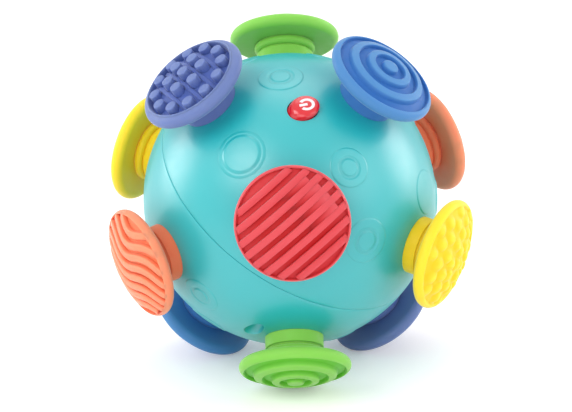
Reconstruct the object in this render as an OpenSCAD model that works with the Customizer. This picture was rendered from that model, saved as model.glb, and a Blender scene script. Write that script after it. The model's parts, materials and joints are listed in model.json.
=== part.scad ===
// Sensory ball: a hard shell in two halves with twelve soft textured knobs,
// a power button, and a motor that turns an off-centre weight inside.
// Origin: the ball's centre. +Z is up, with three knobs as feet. The front knob faces -Y.

/* [Shell] */
// Outer diameter of the shell, without the knobs
shell_d = 132; // [128:1:144]
// Wall thickness of both half shells
shell_wall = 2.6; // [2:0.1:3.2]

/* [Knobs] */
// Diameter of each knob's disc
knob_d = 50; // [46:1:53]
// Height of the disc's widest line over the shell
rim_stand = 12.3; // [11.8:0.1:13.5]
// Thickness of the disc's round rim
rim_t = 5.9; // [5.2:0.1:6.4]
// Height of the face's crown over the shell
crown_stand = 20.5; // [18.5:0.1:22]
// Diameter of the neck where it leaves the shell
neck_d = 26; // [24.6:0.1:28]
// Depth of the grooves moulded in the faces
groove_depth = 2.4; // [1.6:0.1:3]

/* [Power button] */
// Diameter of the button where it leaves the shell
button_d = 12.5; // [11.5:0.5:15]
// Height of the button over the shell
button_stand = 3; // [2:0.1:4]
// Travel of the button when it is pressed
button_travel = 1; // [0.6:0.1:1.4]

/* [Battery bay] */
// Diameter of one cell
cell_d = 10.5; // [9.8:0.1:10.7]
// Length of one cell with its nub
cell_length = 44.5; // [43:0.1:45]
// Diameter of the battery door
door_d = 35.2; // [34.6:0.1:36.4]

/* [Drive] */
// Diameter of the motor across its round sides
motor_d = 20; // [18:0.5:21]
// Thickness of the motor across its flats
motor_flat = 15; // [13:0.5:16]
// Length of the motor's case
motor_length = 22; // [20:0.5:24]
// Gear module
gear_module = 0.7; // [0.65:0.01:0.72]
// Number of teeth on the output gear
gear_teeth = 42; // [38:1:44]
// Number of teeth on the pinion
pinion_teeth = 14; // [13:1:16]
// Diameter of the output shaft
shaft_d = 3; // [2.6:0.1:4]
// Width of the off-centre weight along its shaft
weight_width = 14; // [8:0.5:15]
// Thickness of the frame across the middle
frame_t = 2.4; // [1.8:0.1:3]

/* [Hidden] */
$fn = 96;

// Clearances: between fitted pieces, round moving pieces, and round turning shafts
fit_gap = 0.1;
move_gap = 0.35;
shaft_gap = 0.05;
// Overrun of every cut past its solid
over = 1;

// Directions of the icosahedron's vertices, seen from the shell's own axis
ring_polar = atan(2);
face_polar = acos(sqrt((5 + 2 * sqrt(5)) / 15));
lower_polar = 180 - ring_polar;

// Shell
shell_r = shell_d / 2;
inner_r = shell_r - shell_wall;
seam_groove = 0.35;
lip_height = 2.2;
lip_t = 1.7;
lip_r = shell_r - shell_wall / 2;

// Knob, measured from the ball's centre along the knob's own axis
knob_r = knob_d / 2;
rim_r = rim_t / 2;
rim_ring_r = knob_r - rim_r;
rim_mid = shell_r + rim_stand;
crown = shell_r + crown_stand;
crown_rise = crown_stand - rim_stand;
dome_r = (pow(rim_ring_r, 2) + pow(crown_rise, 2) - pow(rim_r, 2)) / (2 * (crown_rise - rim_r));
dome_z = crown - dome_r;
dome_edge_r = dome_r * rim_ring_r / (dome_r - rim_r);
neck_r = neck_d / 2;
neck_height = 4.2;
neck_slot = 0.9;
neck_slot_depth = 0.8;
bead_r = 1.6;
bead_out = 0.9;
bead_end = 60;
face_steps = 10;
ring_steps = 64;
bead_ring_r = neck_r + bead_out - bead_r;
neck_top = shell_r + neck_height;
bead_z = neck_top + neck_slot + bead_r;
stem_inset = 1.6;
stem_r = neck_r - stem_inset;
hole_r = stem_r + 2 * fit_gap;

// Insert, washer and screw of each knob
core_stem_r = 7.5;
core_hole_r = core_stem_r + fit_gap;
core_disc_inset = 8.5;
core_disc_r = knob_r - core_disc_inset;
core_disc_t = 2.4;
core_cover = 1.4;
core_disc_z = rim_mid - rim_r + core_cover;
washer_t = 2.2;
washer_depth = 6.5;
washer_top = shell_r - washer_depth;
washer_lip = 1.4;
washer_r = hole_r + washer_lip;
knob_screw_r = 1.5;
knob_screw_head_r = 3;
knob_screw_head_t = 1.8;
knob_screw_bite = 11;

// Ringed faces: inner and outer radius of each groove as shares of the disc's radius
blue_groove_shares = [[0.172, 0.264], [0.448, 0.556], [0.748, 0.852]];
green_groove_shares = [[0.13, 0.232], [0.396, 0.54], [0.724, 0.81]];

// Below 1, the flanks of the rings stand steeper than a sine wave's
ring_shoulder_share = 0.6;

// Ribbed face
rib_pitch = 5.1;
rib_groove = 2.3;
rib_count = 9;
rib_angle = 165.5;
rib_face_inset = 2.1;

// Pegged face
peg_floor_depth = 3.4;
peg_lip = 4.9;
peg_r = 2.85;
peg_ring_shares = [[0, 1, 0], [0.338, 5, 48.7], [0.648, 11, 22.2]];
floor_rib_w = 1.9;
floor_rib_t = 1;
floor_rib_pitch = 7.4;
floor_rib_angle = 121;

// Cobbled face
cobble_count = 25;
cobble_r = 3.5;
cobble_depth = 1.9;
cobble_lip = 5.4;
cobble_turn = 137.508;
cobble_start_share = 0.4;

// Waved face
wave_pitch = 4.4;
wave_groove = 2;
wave_height = 1.8;
wave_length = 25;
wave_start = 2;
wave_count = 9;
wave_angle = 107;
wave_steps = 24;
wave_face_inset = 2.6;

// Moulded ring reliefs on the shell: polar angle, azimuth, outer radius share, ring count, dome
relief_h = 0.4;
relief_unit = 10.6;
relief_line = 0.8;
relief_sink = 0.6;
relief_step_share = 0.42;
relief_dome_share = 0.72;
upper_relief_shares = [[58.9, -36.1, 1, 1, 1], [59.3, 35.4, 1, 2, 0], [35.2, 12.7, 0.88, 2, 0],
    [34.5, -79.4, 1, 2, 0], [44.4, 82.5, 1, 1, 0], [59.3, 108, 1, 1, 1],
    [59.3, 180, 1, 2, 0], [59.3, -108, 1, 1, 0], [37, 150, 0.88, 2, 0], [37, -145, 0.88, 1, 0]];
lower_relief_shares = [[118.7, -11.5, 0.9, 2, 0], [120.7, 72, 1, 1, 1], [120.7, 144, 1, 2, 0],
    [143, 0, 0.9, 2, 0], [143, 60, 0.88, 1, 0], [143, 124, 0.88, 2, 0]];

// Bosses and screws that join the half shells
boss_polar = 60.4;
boss_ring_r = shell_r * sin(boss_polar);
boss_az = 16.9;
boss_count = 4;
boss_step = 72;
recess_r = 3.5;
boss_wall = 1.2;
boss_r = recess_r + boss_wall;
boss_web = 8;
shell_screw_r = 1.5;
shell_screw_head_r = 2.9;
shell_screw_head_t = 2;
shell_screw_bite = 9;
upper_boss_r = 3.2;

// Power button and its switch
button_polar = 29.3;
button_az = -41.9;
button_ring_r = shell_r * sin(button_polar);
button_r = button_d / 2;
button_taper = 1;
button_wall = 1.6;
guide_wall = 1.5;
guide_r = button_r + move_gap;
guide_end = sqrt(pow(inner_r, 2) - pow(button_ring_r + button_r, 2));
collar_out = 1.3;
collar_t = 1.3;
collar_top = guide_end - move_gap;
collar_low = collar_top - collar_t;
post_r = 1.9;
switch_w = 6;
switch_h = 3.2;
plunger_r = 1.6;
plunger_out = 1.5;
plunger_in = 1.4;
board_drop = 5.2;
board_t = 1.6;
board_top = guide_end - board_drop;
board_low = board_top - board_t;
board_length = 36;
board_width = 28;
board_edge_u = 6.2;
board_edge_v = 7.9;
board_hole_inset = 3.9;
board_hole_u = 16;
board_boss_r = 2.8;
board_screw_r = 1;
board_screw_head_r = 2.1;
board_screw_head_t = 1.4;
board_screw_bite = 5;

// Battery bay, along the axis of one hidden face
bay_polar = 180 - face_polar;
bay_az = -144;
cell_gap = 0.3;
cell_ring_r = (cell_d + cell_gap) / sqrt(3);
tube_gap = 0.5;
tube_r = cell_ring_r + cell_d / 2 + tube_gap;
tube_wall = 1.6;
tube_out_r = tube_r + tube_wall;
contact_t = 0.5;
contact_r = tube_r - tube_gap;
contact_nub_r = 1.8;
contact_nub_h = 0.5;
door_r = door_d / 2;
door_gap = 0.4;
door_plug_depth = 3;
bay_flange = 1.6;
flange_t = 2;
nub_r = 1.9;
nub_h = 1.2;
door_screw_inset = 2.7;
door_screw_ring_r = door_r - door_screw_inset;
door_screw_r = 1.15;
door_screw_head_r = 2.1;
door_screw_head_t = 1.4;
door_screw_length = 9;
door_screw_boss_r = 2.6;
door_plug_end = inner_r - door_plug_depth;
door_contact_low = door_plug_end - contact_t - contact_nub_h;
cell_top = door_contact_low - fit_gap;
cell_low = cell_top - cell_length;
base_contact_low = cell_low - fit_gap - contact_nub_h - contact_t;
tube_low = base_contact_low - fit_gap - tube_wall;

// Drive: u runs along the shafts, v across them, z over the frame
drive_az = -18;
shaft_z = (board_low + frame_t) / 2;
weight_gap = 2;
weight_r = shaft_z - frame_t - weight_gap;
weight_chord = 2.5;
hub_r = 5.5;
hang_angle = face_polar - 90;
gear_pitch_r = gear_module * gear_teeth / 2;
pinion_pitch_r = gear_module * pinion_teeth / 2;
mesh_gap = 0.1;
centre_distance = gear_pitch_r + pinion_pitch_r + mesh_gap;
saddle_t = 1;
motor_z = frame_t + saddle_t + motor_flat / 2;
mesh_drop = shaft_z - motor_z;
motor_v = sqrt(pow(centre_distance, 2) - pow(mesh_drop, 2));
mesh_angle = atan2(-mesh_drop, motor_v);
pressure_angle = 20;
tooth_thin = 0.06;
addendum_share = 0.85;
dedendum_share = 1.2;
gear_width = 5;
plate_t = 2.4;
gear_u = -3.8;
side_gap = 0.8;
gear_plate_u = gear_u + gear_width + side_gap;
motor_plate_u = gear_u - side_gap - plate_t;
weight_u = gear_plate_u + plate_t + 2 * side_gap;
outer_u = weight_u + weight_width + 2 * side_gap;
shaft_r = shaft_d / 2;
bush_wall = 1.5;
bush_r = shaft_r + bush_wall;
shaft_tail = 1;
motor_shaft_r = 1;
motor_boss_r = 3;
motor_boss_t = 1.5;
cap_t = 3;
terminal_w = 2.2;
terminal_t = 0.5;
terminal_length = 4;
terminal_pitch = 9;
strap_t = 1.2;
strap_w = 8;
foot_length = 9;
foot_t = 2;
frame_screw_r = 1.1;
frame_screw_head_r = 2.2;
frame_screw_head_t = 1.4;
frame_screw_inset = 4.2;
plate_side = 8.5;
plate_over = 7;
grub_r = 1.2;

// Frame across the middle
frame_rim_inset = 14;
frame_r = inner_r - frame_rim_inset;
ear_r = 5;
ear_w = 8;
arm_step = 0.3;
frame_window_r = 6;
frame_windows = 9;
frame_window_ring_r = frame_r - 1.5 * frame_window_r;
frame_rib_t = 1.6;
frame_rib_h = 3.2;

// The shell's own axis runs through the upper blue knob, and is tilted in the row
module in_shell() {
    rotate([0, face_polar, -30])
        rotate([0, 0, -72])
            children();
}

module at_dir(polar, az) {
    rotate([0, polar, az])
        children();
}

// Children for each knob axis of the upper half, then of the lower half
module upper_axes() {
    children();
    for (i = [0:4])
        at_dir(ring_polar, 72 * i)
            children();
}

module lower_axes() {
    at_dir(180, 0)
        children();
    for (i = [0:4])
        at_dir(lower_polar, 72 * i + 36)
            children();
}

module ring(r_out, r_in, z0, h) {
    translate([0, 0, z0])
        difference() {
            cylinder(r = r_out, h = h);
            translate([0, 0, -over])
                cylinder(r = r_in, h = h + 2 * over);
        }
}

// Shell

module shell_wall_half(side) {
    intersection() {
        difference() {
            sphere(shell_r);
            sphere(inner_r);
            rotate_extrude()
                translate([shell_r, 0])
                    circle(seam_groove);
        }
        translate([0, 0, side * shell_r])
            cube(2 * shell_r, center = true);
    }
}

module relief(polar, az, size, rings, dome) {
    r = relief_unit * size;
    at_dir(polar, az)
        intersection() {
            difference() {
                sphere(shell_r + relief_h);
                sphere(shell_r - relief_sink);
            }
            translate([0, 0, shell_r / 2])
                union() {
                    for (i = [0:rings])
                        ring(r * (1 - relief_step_share * i), r * (1 - relief_step_share * i) - relief_line,
                            0, shell_r);
                    if (dome > 0)
                        cylinder(r = r * relief_dome_share, h = shell_r);
                }
        }
}

module knob_hole() {
    translate([0, 0, inner_r / 2])
        cylinder(r = hole_r, h = shell_r);
}

module boss_places() {
    for (i = [0:boss_count - 1])
        rotate([0, 0, boss_az + boss_step * i])
            translate([boss_ring_r, 0, 0])
                children();
}

module button_place() {
    rotate([0, 0, button_az])
        translate([button_ring_r, 0, 0])
            children();
}

module board_place() {
    rotate([0, 0, button_az])
        translate([button_ring_r - board_length + board_edge_u, board_edge_v - board_width, 0])
            children();
}

module board_holes() {
    translate([board_hole_inset, board_hole_inset, 0])
        children();
    translate([board_length - board_hole_inset, board_hole_inset, 0])
        children();
    translate([board_hole_u, board_width - board_hole_inset, 0])
        children();
}

module upper_shell() {
    color([0.44, 0.78, 0.8])
        in_shell()
            difference() {
                union() {
                    shell_wall_half(1);
                    for (s = upper_relief_shares)
                        relief(s[0], s[1], s[2], s[3], s[4]);
                    intersection() {
                        sphere((shell_r + inner_r) / 2);
                        union() {
                            boss_places()
                                translate([0, 0, frame_t])
                                    cylinder(r = upper_boss_r, h = shell_r);
                            board_place()
                                board_holes()
                                    translate([0, 0, board_top])
                                        cylinder(r = board_boss_r, h = shell_r);
                            button_place()
                                translate([0, 0, guide_end])
                                    cylinder(r = guide_r + guide_wall, h = shell_r);
                        }
                    }
                }
                upper_axes()
                    knob_hole();
                translate([0, 0, -over])
                    cylinder(r = lip_r, h = lip_height + move_gap + over);
                boss_places()
                    translate([0, 0, frame_t - over])
                        cylinder(r = shell_screw_r + shaft_gap, h = shell_screw_bite + 2 * over);
                board_place()
                    board_holes()
                        translate([0, 0, board_top - over])
                            cylinder(r = board_screw_r + shaft_gap, h = board_screw_bite + 2 * over);
                button_place()
                    translate([0, 0, guide_end - over])
                        cylinder(r = guide_r, h = shell_r);
            }
}

module lower_shell() {
    color([0.42, 0.76, 0.78])
        in_shell()
            difference() {
                union() {
                    shell_wall_half(-1);
                    ring(lip_r - fit_gap, lip_r - lip_t, -lip_height, 2 * lip_height);
                    for (s = lower_relief_shares)
                        relief(s[0], s[1], s[2], s[3], s[4]);
                    intersection() {
                        sphere((shell_r + inner_r) / 2);
                        boss_places()
                            translate([0, 0, -shell_r])
                                cylinder(r = boss_r, h = shell_r);
                    }
                }
                lower_axes()
                    knob_hole();
                boss_places() {
                    translate([0, 0, -shell_r - over])
                        cylinder(r = recess_r, h = shell_r - boss_web + over);
                    translate([0, 0, -boss_web - over])
                        cylinder(r = shell_screw_r + fit_gap, h = boss_web + 2 * over);
                }
                at_dir(bay_polar, bay_az)
                    translate([0, 0, inner_r / 2])
                        cylinder(r = door_r + door_gap, h = shell_r);
            }
}

// Knobs

function arc(x, y, r, a0, a1, n) = [for (i = [0:n])
    let (a = a0 + (a1 - a0) * i / n)
    [x + r * cos(a), y + r * sin(a)]];

// How deep the rings are cut at radius r, with soft shoulders
function ring_cut(r, shares, depth) = max([for (s = shares)
    let (t = (r / knob_r - s[0]) / (s[1] - s[0]))
    t <= 0 || t >= 1 ? 0 : depth * pow(sin(180 * t), ring_shoulder_share)]);

function face_points(shares, depth, n) = [for (i = [0:n])
    let (r = dome_edge_r * (1 - i / n))
    [r, dome_z + sqrt(pow(dome_r, 2) - pow(r, 2)) - ring_cut(r, shares, depth)]];

// Half section of a knob: spigot on its collar, bead, saucer, rim and face
module knob_outline(shares, depth, n) {
    polygon(concat(
        [[0, neck_top + fit_gap], [neck_r - neck_slot_depth, neck_top + fit_gap],
            [neck_r - neck_slot_depth, neck_top + neck_slot]],
        arc(bead_ring_r, bead_z, bead_r, -90, bead_end, 6),
        arc(rim_ring_r, rim_mid, rim_r, -90, atan2(rim_mid - dome_z, rim_ring_r), 10),
        face_points(shares, depth, n)));
}

module core_cavity() {
    translate([0, 0, neck_top - over])
        cylinder(r = core_hole_r, h = core_disc_z - neck_top + 2 * over);
    translate([0, 0, core_disc_z - fit_gap])
        cylinder(r = core_disc_r + fit_gap, h = core_disc_t + 2 * fit_gap);
}

// The neck between the shell and the disc: stem in the shell's hole, shoulder and neck
module collar() {
    seat_r = shell_r + fit_gap;
    rotate_extrude()
        polygon(concat(
            [[core_hole_r, washer_top], [stem_r, washer_top]],
            arc(0, 0, seat_r, acos(stem_r / seat_r), acos(neck_r / seat_r), 3),
            [[neck_r, neck_top], [core_hole_r, neck_top]]));
}

module collar_pair(polar, az) {
    at_dir(polar, az)
        collar();
    at_dir(180 - polar, az + 180)
        collar();
}

module plain_knob() {
    difference() {
        rotate_extrude()
            knob_outline([[0, 1]], 0, face_steps);
        core_cavity();
    }
}

module ringed_knob(shares, depth) {
    difference() {
        rotate_extrude()
            knob_outline(shares, depth, ring_steps);
        core_cavity();
    }
}

// The layer of the face between the dome and a floor that lies deep under it
module face_layer(r, depth) {
    difference() {
        translate([0, 0, rim_mid])
            cylinder(r = r, h = crown_stand);
        translate([0, 0, dome_z])
            sphere(dome_r - depth);
    }
}

module ribbed_knob() {
    difference() {
        plain_knob();
        intersection() {
            face_layer(knob_r - rib_face_inset, groove_depth);
            rotate([0, 0, rib_angle])
                for (i = [0:rib_count - 1])
                    translate([-knob_r, (i - (rib_count - 1) / 2) * rib_pitch - rib_groove / 2, 0])
                        cube([knob_d, rib_groove, crown + over]);
        }
    }
}

module pegged_knob() {
    floor_r = knob_r - peg_lip;
    difference() {
        plain_knob();
        difference() {
            face_layer(floor_r, peg_floor_depth);
            intersection() {
                translate([0, 0, dome_z])
                    sphere(dome_r);
                for (s = peg_ring_shares)
                    for (i = [0:s[1] - 1])
                        rotate([0, 0, s[2] + 360 * i / s[1]])
                            translate([s[0] * knob_r, 0, shell_r])
                                cylinder(r = peg_r, h = 2 * crown_stand);
            }
            intersection() {
                translate([0, 0, dome_z])
                    sphere(dome_r - peg_floor_depth + floor_rib_t);
                rotate([0, 0, floor_rib_angle])
                    for (i = [-1:1])
                        translate([-knob_r, i * floor_rib_pitch + floor_rib_pitch / 2, shell_r])
                            cube([knob_d, floor_rib_w, 2 * crown_stand]);
            }
        }
    }
}

module cobbled_knob() {
    floor_r = knob_r - cobble_lip;
    difference() {
        plain_knob();
        difference() {
            face_layer(floor_r, cobble_depth);
            for (i = [0:cobble_count - 1])
                rotate([0, 0, cobble_turn * i])
                    translate([0, 0, dome_z])
                        rotate([0, asin(floor_r / dome_r * sqrt((i + cobble_start_share) / cobble_count)), 0])
                            translate([0, 0, dome_r - cobble_r])
                                sphere(cobble_r);
        }
    }
}

function wave_at(x) = wave_height * sin(360 * (x - wave_start) / wave_length);
function wave_edge(side) = [for (i = [0:wave_steps])
    let (x = knob_d * (i / wave_steps - 1 / 2)) [x, wave_at(x) + side * wave_groove / 2]];

module wave_outline() {
    far = wave_edge(1);
    polygon(concat(wave_edge(-1), [for (i = [0:wave_steps]) far[wave_steps - i]]));
}

module waved_knob() {
    difference() {
        plain_knob();
        intersection() {
            face_layer(knob_r - wave_face_inset, groove_depth);
            rotate([0, 0, wave_angle])
                for (i = [0:wave_count - 1])
                    translate([0, (i - (wave_count - 1) / 2) * wave_pitch, shell_r])
                        linear_extrude(2 * crown_stand)
                            wave_outline();
        }
    }
}

module knob_red_front() {
    color([0.89, 0.21, 0.26])
        in_shell()
            at_dir(ring_polar, 0)
                ribbed_knob();
}

module knob_red_back() {
    color([0.89, 0.21, 0.26])
        in_shell()
            at_dir(lower_polar, 180)
                ribbed_knob();
}

module knob_blue_upper() {
    color([0.33, 0.54, 0.8])
        in_shell()
            ringed_knob(blue_groove_shares, groove_depth);
}

module knob_blue_foot() {
    color([0.33, 0.54, 0.8])
        in_shell()
            at_dir(180, 0)
                ringed_knob(blue_groove_shares, groove_depth);
}

module knob_green_upper() {
    color([0.5, 0.76, 0.31])
        in_shell()
            at_dir(ring_polar, -144)
                ringed_knob(green_groove_shares, groove_depth);
}

module knob_green_foot() {
    color([0.5, 0.76, 0.31])
        in_shell()
            at_dir(lower_polar, 36)
                ringed_knob(green_groove_shares, groove_depth);
}

module knob_purple_upper() {
    color([0.47, 0.5, 0.72])
        in_shell()
            at_dir(ring_polar, -72)
                pegged_knob();
}

module knob_purple_foot() {
    color([0.47, 0.5, 0.72])
        in_shell()
            at_dir(lower_polar, 108)
                pegged_knob();
}

module knob_yellow_right() {
    color([0.98, 0.87, 0.29])
        in_shell()
            at_dir(ring_polar, 72)
                cobbled_knob();
}

module knob_yellow_left() {
    color([0.98, 0.87, 0.29])
        in_shell()
            at_dir(lower_polar, -108)
                cobbled_knob();
}

module knob_orange_left() {
    color([0.98, 0.55, 0.42])
        in_shell()
            at_dir(lower_polar, -36)
                waved_knob();
}

module knob_orange_right() {
    color([0.98, 0.55, 0.42])
        in_shell()
            at_dir(ring_polar, 144)
                waved_knob();
}

module collars_red() {
    color([0.89, 0.21, 0.26])
        in_shell()
            collar_pair(ring_polar, 0);
}

module collars_blue() {
    color([0.33, 0.54, 0.8])
        in_shell()
            collar_pair(0, 0);
}

module collars_green() {
    color([0.5, 0.76, 0.31])
        in_shell()
            collar_pair(ring_polar, -144);
}

module collars_purple() {
    color([0.47, 0.5, 0.72])
        in_shell()
            collar_pair(ring_polar, -72);
}

module collars_yellow() {
    color([0.98, 0.87, 0.29])
        in_shell()
            collar_pair(ring_polar, 72);
}

module collars_orange() {
    color([0.98, 0.55, 0.42])
        in_shell()
            collar_pair(ring_polar, 144);
}

module knob_core() {
    difference() {
        union() {
            translate([0, 0, washer_top])
                cylinder(r = core_stem_r, h = core_disc_z - washer_top + core_disc_t / 2);
            translate([0, 0, core_disc_z])
                cylinder(r = core_disc_r, h = core_disc_t);
        }
        translate([0, 0, washer_top - over])
            cylinder(r = knob_screw_r + shaft_gap, h = knob_screw_bite + 2 * over);
    }
}

module knob_washer() {
    difference() {
        intersection() {
            sphere(inner_r - fit_gap);
            translate([0, 0, washer_top - washer_t - fit_gap])
                cylinder(r = washer_r, h = shell_r);
        }
        translate([0, 0, washer_top - fit_gap])
            cylinder(r = hole_r, h = shell_r);
        translate([0, 0, washer_top - washer_t - over])
            cylinder(r = knob_screw_r + fit_gap, h = washer_t + 2 * over);
    }
}

// A screw with its head down and its tip up, from the head's underside at z = 0
module screw(r, length, head_r, head_t) {
    translate([0, 0, -head_t])
        difference() {
            cylinder(r = head_r, h = head_t);
            translate([0, 0, -over])
                cylinder(r = head_r / 3, h = over + head_t / 2, $fn = 6);
        }
    translate([0, 0, -head_t / 2])
        cylinder(r = r, h = length + head_t / 2);
}

module knob_cores() {
    color([0.85, 0.85, 0.83])
        in_shell() {
            upper_axes()
                knob_core();
            lower_axes()
                knob_core();
        }
}

module knob_washers() {
    color([0.8, 0.82, 0.84])
        in_shell() {
            upper_axes()
                knob_washer();
            lower_axes()
                knob_washer();
        }
}

module knob_screw() {
    translate([0, 0, washer_top - washer_t - 2 * fit_gap])
        screw(knob_screw_r, washer_t + knob_screw_bite, knob_screw_head_r, knob_screw_head_t);
}

module knob_screws() {
    color([0.7, 0.7, 0.72])
        in_shell() {
            upper_axes()
                knob_screw();
            lower_axes()
                knob_screw();
        }
}

module shell_screws() {
    color([0.7, 0.7, 0.72])
        in_shell()
            boss_places()
                translate([0, 0, -boss_web - fit_gap])
                    screw(shell_screw_r, boss_web + frame_t + shell_screw_bite, shell_screw_head_r,
                        shell_screw_head_t);
}

// Frame across the middle

module in_drive() {
    rotate([0, 0, drive_az])
        children();
}

// Drawn in the plane across the shafts: x becomes v, y becomes z, and the height runs along u
module along_u(u) {
    translate([u, 0, 0])
        rotate([90, 0, 90])
            children();
}

// Places of the screws that hold the plates' feet, the bracket's foot and the strap
module foot_holes(u, v_low, v_high) {
    for (v = [v_low, v_high])
        translate([u, v, 0])
            children();
}

plate_hole_v = plate_side - frame_screw_inset / 2;
motor_shaft_u = motor_plate_u - motor_length / 3;
motor_hole_u = motor_plate_u + plate_t - foot_length + frame_screw_inset / 2;
motor_foot_v = motor_v - motor_d / 2 - frame_screw_inset;
gear_foot = 5;
gear_hole_u = gear_plate_u - gear_foot / 2;
outer_hole_u = outer_u + foot_length - frame_screw_inset / 2;
strap_u = motor_plate_u - motor_length + strap_w / 2;
strap_hole_v = motor_d / 2 + strap_t + foot_length / 2;

module frame_screw_places() {
    foot_holes(outer_hole_u, -plate_hole_v, plate_hole_v)
        children();
    foot_holes(gear_hole_u, -plate_hole_v, plate_hole_v)
        children();
    foot_holes(motor_hole_u, -plate_hole_v, motor_foot_v)
        children();
    foot_holes(strap_u + strap_w / 2, motor_v - strap_hole_v, motor_v + strap_hole_v)
        children();
}

module mid_frame() {
    color([0.9, 0.9, 0.88])
        in_shell()
            difference() {
                union() {
                    rotate_extrude()
                        polygon([[0, 0], [frame_r, 0], [frame_r, frame_t + frame_rib_h],
                            [frame_r - frame_rib_t, frame_t + frame_rib_h], [frame_r - frame_rib_t, frame_t],
                            [0, frame_t]]);
                    boss_places()
                        cylinder(r = ear_r, h = frame_t);
                    for (i = [0:boss_count - 1])
                        rotate([0, 0, boss_az + boss_step * i])
                            translate([frame_r - ear_r, -ear_w / 2, arm_step])
                                cube([boss_ring_r - frame_r + ear_r / 2, ear_w, frame_t - 2 * arm_step]);
                    in_drive()
                        for (u = [strap_u, motor_plate_u - strap_w])
                            translate([u, motor_v - motor_d / 4, 0])
                                cube([strap_w / 2, motor_d / 2, frame_t + saddle_t - shaft_gap]);
                }
                boss_places()
                    translate([0, 0, -over])
                        cylinder(r = shell_screw_r + fit_gap, h = frame_t + 2 * over);
                for (i = [0:frame_windows - 1])
                    rotate([0, 0, boss_az + 360 * (i + 1 / 2) / frame_windows])
                        translate([frame_window_ring_r, 0, -over])
                            cylinder(r = frame_window_r, h = frame_t + 2 * over);
                in_drive()
                    frame_screw_places()
                        translate([0, 0, -over])
                            cylinder(r = frame_screw_r + shaft_gap, h = frame_t + 2 * over);
            }
}

// Power button, switch and board

module power_button() {
    color([0.86, 0.12, 0.14])
        in_shell()
            button_place()
                difference() {
                    union() {
                        intersection() {
                            translate([0, 0, collar_low])
                                cylinder(r1 = button_r, r2 = button_r - button_taper,
                                    h = shell_r + button_stand - collar_low);
                            translate([-button_ring_r, 0, 0])
                                sphere(shell_r + button_stand);
                        }
                        intersection() {
                            translate([0, 0, collar_low])
                                cylinder(r = button_r + collar_out, h = collar_t);
                            translate([-button_ring_r, 0, 0])
                                sphere(inner_r - move_gap);
                        }
                    }
                    difference() {
                        intersection() {
                            translate([0, 0, collar_low - over])
                                cylinder(r = button_r - button_wall, h = shell_r);
                            translate([-button_ring_r, 0, 0])
                                sphere(shell_r + button_stand - button_wall);
                        }
                        translate([0, 0, board_top + switch_h + plunger_out + shaft_gap])
                            cylinder(r = post_r, h = shell_r);
                    }
                }
}

module switch_body() {
    color([0.2, 0.2, 0.22])
        in_shell()
            button_place()
                difference() {
                    translate([-switch_w / 2, -switch_w / 2, board_top])
                        cube([switch_w, switch_w, switch_h]);
                    translate([0, 0, board_top + switch_h - plunger_in - button_travel])
                        cylinder(r = plunger_r + shaft_gap, h = switch_h);
                }
}

module switch_plunger() {
    color([0.92, 0.92, 0.9])
        in_shell()
            button_place()
                translate([0, 0, board_top + switch_h - plunger_in + shaft_gap])
                    cylinder(r = plunger_r, h = plunger_in + plunger_out - shaft_gap);
}

module circuit_board() {
    color([0.1, 0.42, 0.24])
        in_shell()
            board_place()
                translate([0, 0, board_low])
                    difference() {
                        cube([board_length, board_width, board_t]);
                        board_holes()
                            translate([0, 0, -over])
                                cylinder(r = board_screw_r + fit_gap, h = board_t + 2 * over);
                    }
}

chip_w = 7;
chip_t = 1.6;
capacitor_r = 2.5;
capacitor_h = 5;
plug_w = 5;
plug_d = 6;
plug_h = 4;
plug_inset = 1;
part_inset = 8;

module board_parts() {
    color([0.15, 0.15, 0.16])
        in_shell()
            board_place()
                translate([0, 0, board_top]) {
                    translate([part_inset, (board_width - chip_w) / 2, 0])
                        cube([chip_w, chip_w, chip_t]);
                    translate([board_length / 2, part_inset / 2, 0])
                        cylinder(r = capacitor_r, h = capacitor_h);
                    translate([plug_inset, board_width - 2 * plug_w, 0])
                        cube([plug_d, plug_w, plug_h]);
                }
}

module board_screws() {
    color([0.7, 0.7, 0.72])
        in_shell()
            board_place()
                board_holes()
                    translate([0, 0, board_low - fit_gap])
                        screw(board_screw_r, board_t + board_screw_bite, board_screw_head_r,
                            board_screw_head_t);
}

// Battery bay

module in_bay() {
    in_shell()
        at_dir(bay_polar, bay_az)
            children();
}

module cell_places() {
    for (i = [0:2])
        rotate([0, 0, 120 * i])
            translate([cell_ring_r, 0, 0])
                children();
}

module door_screw_places() {
    for (side = [-1, 1])
        translate([0, side * door_screw_ring_r, 0])
            children();
}

module battery_tube() {
    color([0.88, 0.88, 0.86])
        in_bay()
            difference() {
                union() {
                    intersection() {
                        translate([0, 0, tube_low])
                            cylinder(r = tube_out_r, h = shell_r);
                        sphere(inner_r - fit_gap);
                    }
                    intersection() {
                        translate([0, 0, inner_r / 2])
                            cylinder(r = door_r + door_gap + bay_flange, h = shell_r);
                        difference() {
                            sphere(inner_r - fit_gap);
                            sphere(inner_r - fit_gap - flange_t);
                        }
                    }
                    intersection() {
                        door_screw_places()
                            translate([0, 0, inner_r - door_screw_length - 2 * shell_wall])
                                cylinder(r = door_screw_boss_r, h = shell_r);
                        sphere(inner_r - fit_gap);
                    }
                }
                translate([0, 0, tube_low + tube_wall])
                    cylinder(r = tube_r, h = shell_r);
                door_screw_places()
                    translate([0, 0, inner_r - door_screw_length - shell_wall])
                        cylinder(r = door_screw_r + fit_gap, h = shell_r);
            }
}

module battery_cells() {
    color([0.2, 0.45, 0.25])
        in_bay()
            cell_places() {
                translate([0, 0, cell_low])
                    cylinder(r = cell_d / 2, h = cell_length - nub_h);
                translate([0, 0, cell_top - nub_h - over])
                    cylinder(r = nub_r, h = nub_h + over);
            }
}

module base_contacts() {
    color([0.8, 0.78, 0.7])
        in_bay() {
            translate([0, 0, base_contact_low])
                cylinder(r = contact_r, h = contact_t);
            cell_places()
                translate([0, 0, base_contact_low])
                    cylinder(r = contact_nub_r, h = contact_t + contact_nub_h);
        }
}

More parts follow.
